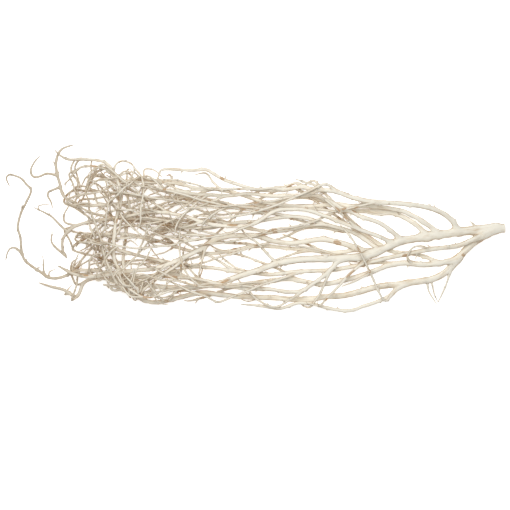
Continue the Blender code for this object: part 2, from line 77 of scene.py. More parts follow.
# The stems that give the branch its form: name, what it forks from, radius at its root and its tip, and its
# route from root to tip. The first point of a fork is moved to the nearest point of what it grows from.
STEM_ROUTES = (
    ("stem", None, 9.0, 3.4, (
        (497, 2, 8.4), (467, 2, 9.5), (437, 0, 11), (403, -5, 14), (370, -11, 18), (342, -16, 22),
        (305, -20, 27), (281, -24, 31), (255, -37, 36), (229, -49, 40), (197, -57, 43), (149, -58, 47),
        (98, -60, 50), (57, -66, 50), (17, -75, 47), (-24, -89, 42), (-55, -101, 36), (-85, -110, 30),
        (-154, -118, 22), (-219, -112, 20), (-262, -99, 22), (-292, -89, 26), (-328, -82, 32))),
    ("far_hook", "stem", 3.0, 1.8, (
        (-322, -83, 31), (-360, -83, 36), (-392, -96, 36), (-419, -97, 34), (-436, -86, 34), (-451, -76, 36),
        (-468, -61, 40), (-474, -39, 46), (-475, -17, 52), (-480, 4, 56), (-473, 33, 60), (-464, 50, 62),
        (-453, 76, 64), (-462, 89, 66), (-474, 102, 66), (-496, 108, 62), (-502, 100, 60), (-496, 85, 58))),
    ("top_arch", "stem", 5.2, 2.7, (
        (404, -5, 14), (396, 8, 20), (388, 19, 25), (372, 31, 32), (351, 40, 40), (325, 46, 48),
        (294, 50, 56), (262, 52, 62), (218, 56, 66), (186, 63, 68), (160, 73, 70), (139, 77, 70),
        (108, 79, 68), (88, 84, 66), (64, 80, 65), (27, 77, 64), (-6, 79, 64), (-34, 87, 66), (-65, 97, 68),
        (-92, 112, 70), (-104, 118, 70), (-132, 117, 70), (-187, 119, 66), (-196, 110, 64), (-200, 100, 60))),
    ("second_arch", "stem", 4.8, 2.7, (
        (366, -12, 19), (352, 0, 24), (333, 13, 29), (312, 26, 33), (290, 37, 36), (262, 42, 38),
        (218, 45, 38), (186, 47, 38), (160, 49, 38), (108, 46, 38), (57, 46, 40), (27, 50, 42),
        (-14, 62, 46), (-45, 71, 48), (-75, 79, 50), (-116, 81, 50), (-154, 90, 50), (-180, 96, 50),
        (-241, 98, 48), (-266, 92, 46))),
    ("third_arch", "stem", 4.6, 2.4, (
        (342, -16, 21), (332, -4, 22), (322, 6, 22), (308, 16, 21), (286, 27, 20), (262, 34, 18),
        (230, 37, 16), (190, 37, 14), (160, 46, 12), (130, 58, 10), (90, 64, 7.6), (50, 60, 5.3),
        (20, 52, 3.25), (-5, 46, 3.15), (-30, 43, 3.35), (-80, 48, 8), (-130, 60, 14), (-190, 64, 20),
        (-250, 56, 28), (-310, 48, 34), (-360, 50, 40), (-388, 66, 46), (-396, 90, 52), (-402, 112, 58),
        (-403, 130, 60), (-399, 148, 62), (-390, 160, 63), (-376, 166, 62), (-368, 168, 62))),
    ("fourth_arch", "stem", 4.4, 2.7, (
        (288, -21, 30), (274, -9, 38), (257, 4, 44), (238, 14, 49), (214, 21, 52), (203, 25, 53),
        (188, 34, 54), (164, 43, 54), (136, 58, 53), (112, 67, 52), (84, 67, 52), (44, 65, 54), (8, 68, 58),
        (-26, 70, 62), (-66, 66, 66), (-106, 68, 70), (-156, 74, 72), (-216, 82, 70))),
    ("fifth_bough", "stem", 4.2, 2.7, (
        (272, -28, 33), (253, -20, 42), (229, -10, 50), (207, -2, 55), (186, 6, 58), (164, 14, 61),
        (139, 24, 64), (104, 36, 67), (68, 39, 68), (40, 38, 68), (20, 28, 68), (0, 14, 69), (-28, 6, 70),
        (-70, 6, 70), (-110, 14, 70), (-150, 26, 68), (-200, 34, 64), (-250, 28, 58), (-300, 20, 52),
        (-340, 14, 48), (-372, 2, 44), (-390, -18, 40), (-392, -40, 36), (-384, -58, 33))),
    ("sixth_bough", "stem", 4.0, 2.6, (
        (246, -41, 37), (230, -32, 34), (218, -23, 33), (203, -13, 33), (184, -4, 35), (160, 3, 38),
        (129, 11, 42), (104, 20, 45), (68, 25, 47), (37, 22, 48), (-2, 15, 48), (-34, 14, 46), (-65, 8, 44),
        (-100, 2, 42), (-140, 6, 40), (-180, 16, 40), (-230, 20, 42), (-285, 22, 44), (-345, 34, 46))),
    ("seventh_bough", "stem", 5.4, 3.8, (
        (236, -46, 39), (212, -42, 30), (190, -34, 26), (164, -27, 25), (129, -21, 26), (88, -25, 28),
        (57, -27, 30), (27, -23, 33), (2, -15, 36), (-24, -12, 38), (-64, -15, 41), (-92, -25, 43),
        (-114, -38, 44), (-136, -51, 45), (-168, -66, 45), (-208, -78, 46), (-250, -84, 48), (-286, -88, 50),
        (-330, -96, 52), (-366, -90, 54), (-398, -74, 56))),
    ("eighth_bough", "seventh_bough", 3.8, 2.6, (
        (200, -38, 28), (184, -44, 18), (168, -46, 13), (139, -46, 12), (108, -43, 12), (78, -40, 12),
        (37, -36, 12), (4, -34, 13), (-20, -36, 14), (-50, -43, 15), (-85, -48, 16), (-116, -48, 17),
        (-155, -38, 20), (-200, -24, 26), (-250, -12, 32), (-310, -10, 36), (-350, -20, 38))),
    ("low_limb", "stem", 7.2, 3.4, (
        (480, 2, 9), (460, -9, 8.6), (436, -26, 8.2), (412, -49, 8), (392, -74, 7.8), (372, -91, 7.8),
        (348, -101, 8.2), (316, -106, 8), (283, -111, 7.7), (240, -116, 7.1), (207, -125, 6.5),
        (170, -134, 5.9), (139, -136, 5.0), (100, -141, 4.6), (64, -141, 4.7), (27, -138, 7),
        (-34, -136, 14), (-75, -132, 16), (-116, -128, 17), (-160, -138, 18), (-200, -147, 18),
        (-226, -144, 20), (-250, -132, 24), (-276, -118, 28), (-310, -112, 30))),
    ("inner_limb", "low_limb", 5.4, 2.8, (
        (404, -57, 8), (382, -66, 14), (354, -70, 18), (327, -70, 20), (294, -68, 21), (262, -74, 20),
        (229, -85, 18), (200, -95, 17), (165, -105, 18), (130, -109, 20), (92, -106, 23), (60, -100, 25),
        (20, -104, 25), (-22, -112, 22), (-60, -116, 16), (-100, -112, 13), (-140, -98, 13),
        (-180, -90, 14), (-230, -96, 12), (-272, -106, 12), (-315, -98, 14), (-345, -104, 16),
        (-354, -114, 15), (-366, -136, 12), (-392, -122, 11), (-418, -115, 10), (-440, -108, 9))),
    ("middle_limb", "low_limb", 4.8, 2.7, (
        (462, -8, 9), (448, -14, 15.5), (430, -22, 21.5), (402, -33, 27), (366, -38, 31), (332, -43, 34),
        (296, -50, 33), (260, -58, 28), (226, -66, 29), (190, -75, 31), (150, -82, 31), (110, -84, 34),
        (70, -86, 36), (28, -91, 35), (-12, -88, 30), (-50, -84, 26), (-90, -78, 24), (-140, -73, 24),
        (-190, -64, 28), (-236, -54, 38), (-280, -42, 43), (-324, -34, 44))),
    ("cross_limb", "inner_limb", 3.8, 2.5, (
        (366, -68, 17), (340, -56, 12), (316, -50, 10), (290, -48, 10), (266, -44, 11), (244, -30, 12),
        (222, -16, 12), (196, -6, 12), (160, -2, 13), (120, 4, 14), (84, 2, 16), (50, -4, 18), (14, -4, 18),
        (-30, 4, 18), (-76, 16, 20), (-120, 14, 22), (-164, 0, 24), (-214, -4, 28))),
    ("crossing_limb", "stem", 4.0, 2.7, (
        (176, -58, 45), (160, -66, 48), (146, -80, 48), (129, -96, 44), (108, -111, 38), (86, -124, 32),
        (56, -126, 30), (20, -120, 33), (-24, -120, 38), (-70, -112, 43), (-120, -100, 44),
        (-170, -97, 42), (-215, -92, 38))),
    ("bottom_hump", "low_limb", 4.0, 2.5, (
        (300, -108, 7), (281, -121, 8), (264, -135, 9), (240, -146, 10), (212, -155, 11), (190, -163, 12),
        (164, -163, 13), (134, -157, 15), (108, -150, 17), (78, -149, 18), (48, -159, 18), (32, -159, 18),
        (4, -154, 19), (-34, -151, 22))),
    ("upright", "seventh_bough", 3.8, 2.3, (
        (-276, -87, 50), (-286, -62, 58), (-288, -28, 64), (-285, 6, 68), (-278, 36, 72), (-273, 62, 76),
        (-278, 92, 78), (-292, 120, 78), (-310, 134, 76), (-345, 139, 74), (-378, 138, 72),
        (-397, 148, 74), (-404, 156, 74))),
    ("second_upright", "stem", 3.3, 2.1, (
        (-250, -104, 22), (-268, -84, 30), (-270, -52, 32), (-266, -20, 27), (-262, 14, 27),
        (-258, 44, 38), (-264, 76, 58), (-276, 100, 64), (-286, 110, 68))),
    ("knot_arc", "upright", 2.5, 1.8, (
        (-288, 112, 78), (-312, 122, 84), (-346, 124, 84), (-362, 115, 82), (-374, 100, 80),
        (-386, 88, 78))),
    ("knot_drop", "upright", 2.6, 1.8, (
        (-296, 122, 78), (-320, 114, 70), (-334, 100, 66), (-341, 82, 62), (-348, 64, 58))),
    ("top_loop", "upright", 2.1, 1.6, (
        (-281, 98, 78), (-286, 118, 90), (-276, 133, 92), (-262, 134, 90), (-249, 126, 88),
        (-246, 116, 86), (-253, 102, 82), (-258, 90, 80))),
    ("left_hook", "third_arch", 2.3, 1.6, (
        (-402, 108, 57), (-421, 110, 60), (-438, 104, 62), (-450, 106, 63), (-453, 119, 64),
        (-444, 137, 65), (-434, 146, 66))),
    ("left_bow", "third_arch", 2.3, 1.6, (
        (-394, 84, 50), (-408, 80, 46), (-420, 74, 44), (-421, 66, 42), (-414, 54, 42), (-411, 42, 42))),
    ("left_runner", "fifth_bough", 2.3, 1.4, (
        (-380, -6, 43), (-398, 10, 46), (-412, 24, 48), (-429, 34, 50), (-448, 43, 52))),
    ("low_left_hook", "fifth_bough", 2.4, 1.6, (
        (-388, -52, 34), (-400, -42, 30), (-412, -30, 28), (-415, -20, 26), (-413, -6, 26))),
    ("far_side_hook", "far_hook", 2.1, 1.4, (
        (-472, -50, 43), (-484, -38, 46), (-496, -39, 48), (-502, -50, 48), (-505, -64, 46))),
    ("far_thorn", "far_hook", 1.8, 1.3, (
        (-426, -94, 34), (-430, -84, 36), (-430, -66, 40), (-432, -54, 42))),
    ("v_twig", "low_limb", 2.1, 1.4, (
        (394, -72, 8), (385, -94, 10), (376, -118, 11), (366, -140, 10), (362, -148, 9))),
    ("v_twig_side", "low_limb", 1.9, 1.3, (
        (342, -103, 8), (343, -120, 5), (350, -136, 4), (360, -151, 4))),
    ("v_twig_middle", "low_limb", 1.8, 1.3, (
        (350, -100, 8), (352, -117, 8), (356, -132, 7.5), (363, -146, 6))),
    ("thin_runner", "low_limb", 2.0, 1.3, (
        (432, -18, 9), (410, -30, 13), (384, -35, 15), (352, -36, 15), (322, -36, 15))),
    ("front_curl", "inner_limb", 2.4, 1.6, (
        (308, -69, 21), (300, -60, 34), (302, -48, 42), (310, -38, 46), (324, -34, 48), (338, -37, 49))),
    ("top_stub", "stem", 2.0, 1.5, ((444, 0, 11), (431, 11, 15), (423, 18, 17))),
    ("spur_twig", "third_arch", 2.2, 1.7, (
        (270, 32, 18), (254, 30, 22), (236, 30, 24), (222, 32, 25), (211, 36, 26))),
    ("outer_spur", "top_arch", 2.6, 2.0, (
        (130, 78, 70), (112, 88, 74), (96, 92, 76), (84, 96, 78), (74, 99, 78))),
    ("shelf_twig", "second_arch", 2.6, 2.0, (
        (-150, 89, 50), (-170, 92, 56), (-200, 92, 58), (-232, 88, 59), (-262, 84, 60))),
)

SEED = 41
SPACING = 6.0               # between the points of a line
TAPER = 0.85                # below 1 a shoot keeps its thickness for longer
CLEARANCE = 0.8             # free air between two shoots
FLOOR_GAP = 1.5             # free air under a grown shoot
HIGHEST = 124.0             # no grown shoot passes this height
GOLDEN_ANGLE = 137.5        # turn round the parent from one shoot to the next, in degrees

# How far grown shoots reach at a few places along the branch: behind, in front and up. Past the end only the
# placed hooks go on.
REACH_X = (-400, -330, -290, -250, -200, -100, -40, 60, 160, 260, 360, 460)
REACH_BACK = (66, 84, 122, 106, 100, 100, 100, 86, 80, 60, 36, 12)
REACH_FRONT = (-72, -88, -98, -120, -140, -146, -142, -146, -140, -118, -108, -30)
REACH_TOP = (86, 100, 108, 110, 110, 106, 102, 92, 82, 68, 52, 24)
REACH_END = -408
RAGGED_END = 46             # how much shorter some of them stay
RAGGED_WAVES = (15, 21)     # how fast that changes across and up
TURN_BACK = 12              # how far before the outline and above the surface a shoot is turned back
TURN_BACK_TOP = 10          # how far below the highest reach
TURN_BACK_END = 14          # how far before the end
PUSH = (16, 28, 18, 24)     # mm past those places for a full push: at the end, across, up and down
HOOK = (0.6, 1.2)           # a twig hooks after this share of its length, and turns this much more there
THINNER = 0.66              # radius of a shoot at most, as a share of its parent's
FORK_FREE = 9               # how far past both radii a shoot may touch its parent

# How growth changes along the branch: a few places, and the shares there.
CURL_BY_X = ((-260, 120), (1.0, 0.35))
LENGTH_BY_X = ((-430, -270), (0.45, 1.0))
SPACING_X = (-260, -60, 140, 340)
SPACING_SHARES = (1.2, 0.6)     # at the two middle places: of the tips' spacing, and of the cut end's


class Rule(NamedTuple):
    """How one generation of side shoots grows."""

    name: str
    spacing: tuple      # between shoots, near the cut end and among the tips
    bare_tip: float     # stretch at a parent's tip that carries none
    fork: tuple         # least and most angle to the parent, in degrees
    stretch: tuple      # lowest and highest X of their roots
    flatness: float     # how far they spread up and down, against across
    length: tuple
    internode: float    # straight run between two buds
    curl: float         # usual turn at a bud, in degrees
    wander: float       # random part of that turn
    radius: tuple       # at the root
    tip: float
    shortest: float
    tries: int


RUNNERS = Rule("runner", spacing=(48, 84), bare_tip=60, fork=(9, 24), stretch=(-230, 300), flatness=0.9,
               length=(150, 330), internode=30, curl=4.5, wander=0.08, radius=(2.2, 3.5), tip=1.9,
               shortest=70, tries=10)
SIDE_SHOOTS = Rule("side_shoot", spacing=(520, 100), bare_tip=14, fork=(22, 56), stretch=(-380, 120),
                   flatness=0.8, length=(60, 150), internode=20, curl=11, wander=0.17, radius=(2.0, 3.0),
                   tip=1.6, shortest=30, tries=8)


class Shoot:
    """A stem or a twig: the points of its middle line, its radius at each, and what it grows from."""

    def __init__(self, name, parent, line, root_radius, tip_radius):
        self.name = name
        self.parent = parent
        self.line = line
        self.along = distances_along(line)
        share_left = 1 - self.along / self.along[-1]
        self.radii = tip_radius + (root_radius - tip_radius) * share_left ** TAPER


def distances_along(line):
    steps = np.sqrt((np.diff(line, axis=0) ** 2).sum(axis=1))
    return np.concatenate([[0.0], np.cumsum(steps)])


def smooth_line(route, spacing):
    """Points about spacing apart on a smooth curve through the route's points."""
    knots = np.array(route, float)
    padded = np.vstack([2 * knots[0] - knots[1], knots, 2 * knots[-1] - knots[-2]])
    line = [knots[0]]
    for a, b, c, d in zip(padded, padded[1:], padded[2:], padded[3:]):
        steps = max(1, round(float(np.sqrt(((c - b) ** 2).sum())) / spacing))
        for t in np.arange(1, steps + 1) / steps:
            line.append(0.5 * (2 * b + (c - a) * t + (2 * a - 5 * b + 4 * c - d) * t ** 2
                               + (3 * b - a - 3 * c + d) * t ** 3))
    return np.array(line)


def unit(vector):
    return vector / max(1e-9, float(np.sqrt((vector ** 2).sum())))


def way_out(heading, spin, flatness=1.0):
    """The way out of the bark at the angle spin round the heading."""
    across = unit(np.cross(heading, np.array([0.0, 0.0, 1.0])))
    up = np.cross(across, heading)
    return across * math.cos(spin) + up * math.sin(spin) * flatness


def turned(vector, axis, angle):
    """The vector turned about the axis by the angle in radians."""
    cosine, sine = math.cos(angle), math.sin(angle)
    return (vector * cosine + np.cross(axis, vector) * sine
            + axis * float((axis * vector).sum()) * (1 - cosine))


def placed_stems():
    """The stems that were placed one by one, each joined to what it forks from."""
    stems = {}
    for name, parent_name, root_radius, tip_radius, route in STEM_ROUTES:
        parent = stems.get(parent_name)
        route = [np.array(point, float) for point in route]
        if parent is not None:
            route[0] = parent.line[int(((parent.line - route[0]) ** 2).sum(axis=1).argmin())]
        stems[name] = Shoot(name, parent, smooth_line(route, SPACING), root_radius, tip_radius)
    return list(stems.values())


class Occupied:
    """The space that shoots already take, so that new ones keep clear of it."""

    MOST_REACH = 20.0   # more than two of the thickest radii and the clearance

    def __init__(self, shoots):
        self.points, self.radii, self.owners = np.empty((0, 3)), np.empty(0), np.empty(0)
        for owner, shoot in enumerate(shoots):
            self.add(shoot, owner)

    def add(self, shoot, owner):
        self.points = np.vstack([self.points, shoot.line])
        self.radii = np.concatenate([self.radii, shoot.radii])
        self.owners = np.concatenate([self.owners, np.full(len(shoot.line), owner)])

    def clear_length(self, shoot, parent_owner, free):
        """How many points of the shoot are clear of all but its parent's bark near its root."""
        line, root = shoot.line, shoot.line[0]
        near = ((self.points > line.min(axis=0) - self.MOST_REACH)
                & (self.points < line.max(axis=0) + self.MOST_REACH)).all(axis=1)
        own_bark = (self.owners == parent_owner) & (((self.points - root) ** 2).sum(axis=1) < free ** 2)
        near &= ~own_bark
        if not near.any():
            return len(line)
        apart = np.sqrt(((line[:, None, :] - self.points[None, near, :]) ** 2).sum(axis=2))
        room = (apart - shoot.radii[:, None] - self.radii[None, near]).min(axis=1)
        past_fork = ((line - root) ** 2).sum(axis=1) > free ** 2
        blocked = np.nonzero((room < CLEARANCE) & past_fork)[0]
        return int(blocked[0]) if len(blocked) else len(line)


def steered(point, heading):
    """The heading, bent back where the point nears the edge of the branch's outline or the surface."""
    x, y, z = point
    behind = max(0.0, y - np.interp(x, REACH_X, REACH_BACK) + TURN_BACK)
    in_front = max(0.0, np.interp(x, REACH_X, REACH_FRONT) + TURN_BACK - y)
    above = max(0.0, z - np.interp(x, REACH_X, REACH_TOP) + TURN_BACK_TOP)
    low = max(0.0, TURN_BACK - z)
    ragged = RAGGED_END * abs(math.sin(y / RAGGED_WAVES[0] + z / RAGGED_WAVES[1]))
    past_end = max(0.0, REACH_END + TURN_BACK_END + ragged - x)
    end, across, up, down = PUSH
    return unit(heading + np.array([past_end / end, (in_front - behind) / across, low / up - above / down]))


def twig_route(draw, root, heading, length, rule, curl):
    """Points of a twig that goes straight between its buds, turns a little at each, and hooks at its end."""
    axis = unit(np.array([draw.gauss(0, 0.45), draw.gauss(0, 0.45), draw.choice((-1, 1))]))
    turn = abs(draw.gauss(curl, curl * 0.6))
    start, more = HOOK
    route = [root]
    travelled = 0.0
    while travelled < length:
        step = rule.internode * draw.uniform(0.7, 1.3)
        route.append(route[-1] + heading * step)
        travelled += step
        hook = 1.0 + more * max(0.0, travelled / length - start)
        heading = turned(heading, axis, turn * hook * draw.uniform(-0.5, 2.0))
        jitter = np.array([draw.gauss(0, rule.wander) for _ in range(3)])
        heading = steered(route[-1], unit(heading + jitter))
    return route


def spacing_at(x, spacing):
    """How far apart side shoots are at x, from the cut end's spacing to the tips'."""
    at_cut_end, at_tips = spacing
    wider, closer = SPACING_SHARES
    return float(np.interp(x, SPACING_X, (at_tips, at_tips * wider, at_cut_end * closer, at_cut_end)))


def out_of_bark(parent, k, spin, flatness):
    """The parent's heading at its point k, and the way out of its bark at the angle spin round it."""
    ahead = unit(parent.line[min(k + 1, len(parent.line) - 1)] - parent.line[k - 1])
    return ahead, unit(way_out(ahead, spin, flatness))


def one_try(draw, rule, parent, k, ahead, out, name):
    """A new shoot from the parent's point k, of full length."""
    root = parent.line[k]
    fork = math.radians(draw.uniform(*rule.fork))
    curl = math.radians(rule.curl * float(np.interp(root[0], *CURL_BY_X)))
    length = draw.uniform(*rule.length) * float(np.interp(root[0], *LENGTH_BY_X))
    heading = ahead * math.cos(fork) + out * math.sin(fork)
    route = twig_route(draw, root, heading, length, rule, curl)
    root_radius = min(parent.radii[k] * THINNER, draw.uniform(*rule.radius))
    return Shoot(name, parent, smooth_line(route, SPACING), root_radius, min(root_radius, rule.tip))


def usable_points(shoot, occupied, parent_owner, free):
    """How many points of the shoot keep clear of the others, of the surface and of the highest level."""
    keep = occupied.clear_length(shoot, parent_owner, free)
    heights = shoot.line[:, 2]
    astray = np.nonzero((heights < shoot.radii + FLOOR_GAP) | (heights > HIGHEST))[0]
    return min(keep, int(astray[0])) if len(astray) else keep


def grow(shoots, occupied, rule, seed):
    """Adds one generation: side shoots on every shoot so far, taking turns round it and keeping clear."""
    draw = random.Random(seed)
    count = 0
    for owner, parent in enumerate(list(shoots)):
        spin = draw.uniform(0, 2 * math.pi)
        at = draw.uniform(0.5, 1.0) * spacing_at(parent.line[0][0], rule.spacing)
        while at < parent.along[-1] - rule.bare_tip:
            k = int(np.searchsorted(parent.along, at))
            root = parent.line[k]
            if not rule.stretch[0] < root[0] < rule.stretch[1]:
                at += rule.spacing[1]
                continue
            spin += math.radians(GOLDEN_ANGLE) + draw.gauss(0, 0.3)
            ahead, out = out_of_bark(parent, k, spin, rule.flatness)
            name = f"{rule.name}_{count}"
            best, best_keep = None, 0
            for _ in range(rule.tries):
                shoot = one_try(draw, rule, parent, k, ahead, out, name)
                keep = usable_points(shoot, occupied, owner, parent.radii[k] + shoot.radii[0] + FORK_FREE)
                if keep > best_keep:
                    best, best_keep = shoot, keep
                if keep == len(shoot.line):
                    break
            if best_keep * SPACING > rule.shortest:
                shoot = Shoot(name, parent, best.line[:best_keep], best.radii[0], best.radii[-1])
                shoots.append(shoot)
                occupied.add(shoot, len(shoots) - 1)
                count += 1
            at += spacing_at(root[0], rule.spacing) * draw.uniform(0.7, 1.3)


# Finer generations, which the solid is too coarse for.
FINE_SHOOTS = Rule("fine_shoot", spacing=(850, 170), bare_tip=14, fork=(24, 64), stretch=(-380, 0),
                   flatness=0.8, length=(50, 140), internode=18, curl=15, wander=0.17, radius=(2.1, 2.9),
                   tip=1.7, shortest=26, tries=6)
TWIGLETS = Rule("twiglet", spacing=(800, 130), bare_tip=8, fork=(28, 75), stretch=(-480, 120), flatness=0.9,
                length=(16, 60), internode=12, curl=14, wander=0.22, radius=(1.3, 1.9), tip=1.1,
                shortest=12, tries=4)
SPURS = Rule("spur", spacing=(110, 75), bare_tip=6, fork=(35, 80), stretch=(-500, 440), flatness=1.0,
             length=(6, 14), internode=5, curl=6, wander=0.1, radius=(1.0, 1.9), tip=0.9, shortest=6, tries=2)
FIBRES = Rule("fibre", spacing=(800, 450), bare_tip=10, fork=(12, 40), stretch=(-480, 420), flatness=1.0,
              length=(12, 36), internode=6, curl=16, wander=0.22, radius=(0.22, 0.3), tip=0.16, shortest=8,
              tries=2)
BARE_STEMS = ("top_loop", "v_twig", "v_twig_side", "v_twig_middle")
LEFT_OUT = ("fine_shoot", "twiglet", "spur", "fibre")   # of the bare stems
GENERATIONS = (RUNNERS, SIDE_SHOOTS, FINE_SHOOTS, TWIGLETS, SPURS, FIBRES)

# For each generation: distance between rings of points, sides of a ring, and least radius.
FINENESS = {
    "placed": (3.0, 16, 1.4),
    "runner": (3.2, 12, 1.9),
    "side_shoot": (3.2, 10, 1.8),
    "fine_shoot": (3.2, 9, 1.7),
    "twiglet": (3.0, 8, 0.9),
    "spur": (1.8, 7, 0.8),
    "fibre": (3.0, 4, 0.14),
}

INTERNODE = (12.0, 8.0)     # between nodes: this much, and this much more for each mm of radius
NODE_SWELLING = ((1.5, 4.0), (0.2, 0.05))   # two radii, and how much wider they are at a node
NODE_LENGTH = 1.6           # of a swelling, in radii
ZIGZAG_BASE = 0.25          # how far the wood bends aside at a node, and how much more for each mm of radius
ZIGZAG_SHARE = 0.3
TIP_LENGTH = 14.0           # of a tip that narrows, in radii
TIP_SHARE = 0.45            # its end's radius, as a share
FORK_FLARE = 0.22           # extra radius where a shoot leaves its parent, as a share
FILLET = 1.8                # how wide the crease of a fork is filled, in radii of the shoot
FORK_REACH = 75.0           # the stretch of each shoot round a fork that its crease looks at
CREASE_REACH = 60.0         # how far from the fork the crease is filled
CREASE_DEEPEST = 0.6        # how deep inside the other shoot, in widths of the crease, as are the next two
CREASE_EDGE = 0.15          # deeper than this the filling fades out,
CREASE_FADE = 0.45          # over this depth
CREASE_PASSES = 4
CREASE_STEP = 0.9           # share of the way that a pass moves a point
RESTING_STEP = 0.12         # between flat undersides on the surface, so that they don't coincide
RESTING_LEVELS = 4

ROUND_TIP = ((0.55, 0.84), (0.9, 0.45))     # rings past the last point: how far and how wide, in radii
TIP_CURVE = 0.7             # below 1 a tip narrows late

# Painted shade: how much wood lies over a point, looking towards the key light.
SHADE_LEAN = np.array([0.0, 0.18])    # the light leans this far for each mm of height
SHADE_REACH = 9.0         # how far to the side wood shelters
SHADE_ABOVE = 2.0         # how far over the bark it has to be
SHADE_DEPTH = 7.0         # mm of wood overhead that shelter a point well


class GrownBranch:
    """Every generation of the branch by name, lying where its solid lies."""

    def __init__(self):
        shoots = placed_stems()
        self.generations = {"placed": list(shoots)}
        occupied = Occupied(shoots)
        for number, rule in enumerate(GENERATIONS):
            before = len(shoots)
            grow(shoots, occupied, rule, SEED + number)
            self.generations[rule.name] = shoots[before:]
        for kind, generation in self.generations.items():
            for shoot in generation:
                shoot.kind, shoot.children = kind, []
                shoot.left_out = kind in LEFT_OUT and (
                    shoot.parent.name in BARE_STEMS or shoot.parent.left_out)
            generation[:] = [s for s in generation if not s.left_out]
            for shoot in generation:
                if shoot.parent is not None:
                    shoot.parent.children.append(shoot)
        self.shoots = sum(self.generations.values(), [])
        self.move_to_solid()
        self.mark_overhead_shade()

    def move_to_solid(self):
        """The solid's leftmost point is the far hook's tip, and its rearmost is the third arch's."""
        low, high = (np.array(corner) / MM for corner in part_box("branch"))
        placed = np.vstack([shoot.line for shoot in self.generations["placed"]])
        self.shift = np.array([low[0] - placed[:, 0].min(), high[1] - placed[:, 1].max(), 0.0])
        for shoot in self.shoots:
            shoot.line = shoot.line + self.shift

    def mark_overhead_shade(self):
        """How much wood lies over each point, towards the light, from 0 in the open to 1 deep inside: the
        painted shade that the colours darken and warm the wood by.
        """
        wood = [s for s in self.shoots if s.kind != "fibre"]
        points = np.vstack([s.line for s in wood])
        radii = np.concatenate([s.radii for s in wood])
        leaning = points[:, :2] - points[:, 2:] * SHADE_LEAN
        for shoot in self.shoots:
            own = shoot.line[:, :2] - shoot.line[:, 2:] * SHADE_LEAN
            aside = np.sqrt(((own[:, None] - leaning[None]) ** 2).sum(axis=2))
            over = points[None, :, 2] - shoot.line[:, None, 2] > SHADE_ABOVE + radii[None]
            cover = (np.clip(1 - aside / SHADE_REACH, 0, 1) * radii[None] * over).sum(axis=1)
            shoot.shelter = 1 - np.exp(-cover / SHADE_DEPTH)


@functools.cache
def branch():
    return GrownBranch()


class FineLine:
    """A shoot's middle line in short steps, with the girth of its wood, what its bark shows and the painted
    shade over it.
    """

    def __init__(self, shoot):
        step, _, least = FINENESS[shoot.kind]
        draw = random.Random(shoot.name)
        line = smooth_line(shoot.line, step)
        along = distances_along(line)
        along *= shoot.along[-1] / along[-1]
        radii = np.maximum(np.interp(along, shoot.along, shoot.radii), least)
        to_tip = (along[-1] - along) / (TIP_LENGTH * radii[-1])
        radii = radii * (TIP_SHARE + (1 - TIP_SHARE) * np.clip(to_tip, 0, 1) ** TIP_CURVE)
        self.shoot = shoot
        self.tint = draw.random()
        self.nodes = node_places(shoot, draw)
        closeness = np.zeros(len(along))
        for place in self.nodes:
            reach = NODE_LENGTH * np.interp(place, along, radii)
            closeness = np.maximum(closeness, np.exp(-((along - place) / reach) ** 2))
        line = line + self.zigzag(line, along, radii, draw)
        girth = radii * (1 + np.interp(radii, *NODE_SWELLING) * closeness)
        if shoot.parent is not None:
            girth = flared(girth, line, shoot)
        self.points, self.along, self.radii, self.closeness = line, along, girth, closeness
        self.shelter = np.interp(along, shoot.along, shoot.shelter)
        self.round_tip()

    def zigzag(self, line, along, radii, draw):
        """Offsets that bend the wood a little to and fro at its nodes."""
        sides = [(-1) ** k * draw.uniform(0.3, 1.0) for k in range(len(self.nodes))]
        swing = np.interp(along, [0.0, *self.nodes], [0.0, *sides]) * (ZIGZAG_BASE + ZIGZAG_SHARE * radii)
        aside = np.cross(np.gradient(line, axis=0), [draw.gauss(0, 1) for _ in range(3)])
        aside /= np.maximum(np.sqrt((aside ** 2).sum(axis=1)), 1e-9)[:, None]
        return aside * swing[:, None]

    def round_tip(self):
        """Adds a rounded end past the last point."""
        radius = self.radii[-1]
        last = self.points[-1]
        heading = unit(last - self.points[-2])
        for ahead, share in ROUND_TIP:
            self.points = np.vstack([self.points, last + heading * radius * ahead])
            self.radii = np.append(self.radii, radius * share)
            self.along = np.append(self.along, self.along[-1] + 0.5 * radius)
            self.closeness = np.append(self.closeness, 1.0)
            self.shelter = np.append(self.shelter, self.shelter[-1])

    def at(self, place):
        """The point of the middle line at a distance along it, its heading, its radius and its painted
        overhead shade.
        """
        k = min(max(int(np.searchsorted(self.along, place)), 1), len(self.points) - 2)
        heading = unit(self.points[k + 1] - self.points[k - 1])
        return self.points[k], heading, self.radii[k], self.shelter[k]

    def between(self, place):
        """The same as at, with the point between the points of the line."""
        _, heading, radius, shelter = self.at(place)
        point = np.array([np.interp(place, self.along, self.points[:, k]) for k in range(3)])
        return point, heading, radius, shelter


@functools.cache
def fine_line(shoot):
    return FineLine(shoot)


def node_places(shoot, draw):
    """How far along the shoot its nodes are, where buds and leaves sat."""
    least, by_radius = INTERNODE
    places = []
    at = draw.uniform(0.4, 0.9) * (least + by_radius * shoot.radii[0])
    while at < shoot.along[-1] - 4:
        places.append(at)
        at += (least + by_radius * np.interp(at, shoot.along, shoot.radii)) * draw.uniform(0.7, 1.3)
    return places


def flared(girth, line, shoot):
    """The girth, wider where the shoot leaves its parent's bark, but inside it at the root."""
    parent = shoot.parent
    thick = parent.radii[int(((parent.line - shoot.line[0]) ** 2).sum(axis=1).argmin())]
    outside, _ = bark_distance(line, parent.line, parent.radii)
    flare = 1 + FORK_FLARE * np.exp(-np.maximum(outside, 0) / (1.2 * shoot.radii[0] + 1))
    return np.minimum(girth * flare, 0.8 * thick + 0.8 * (outside + thick))


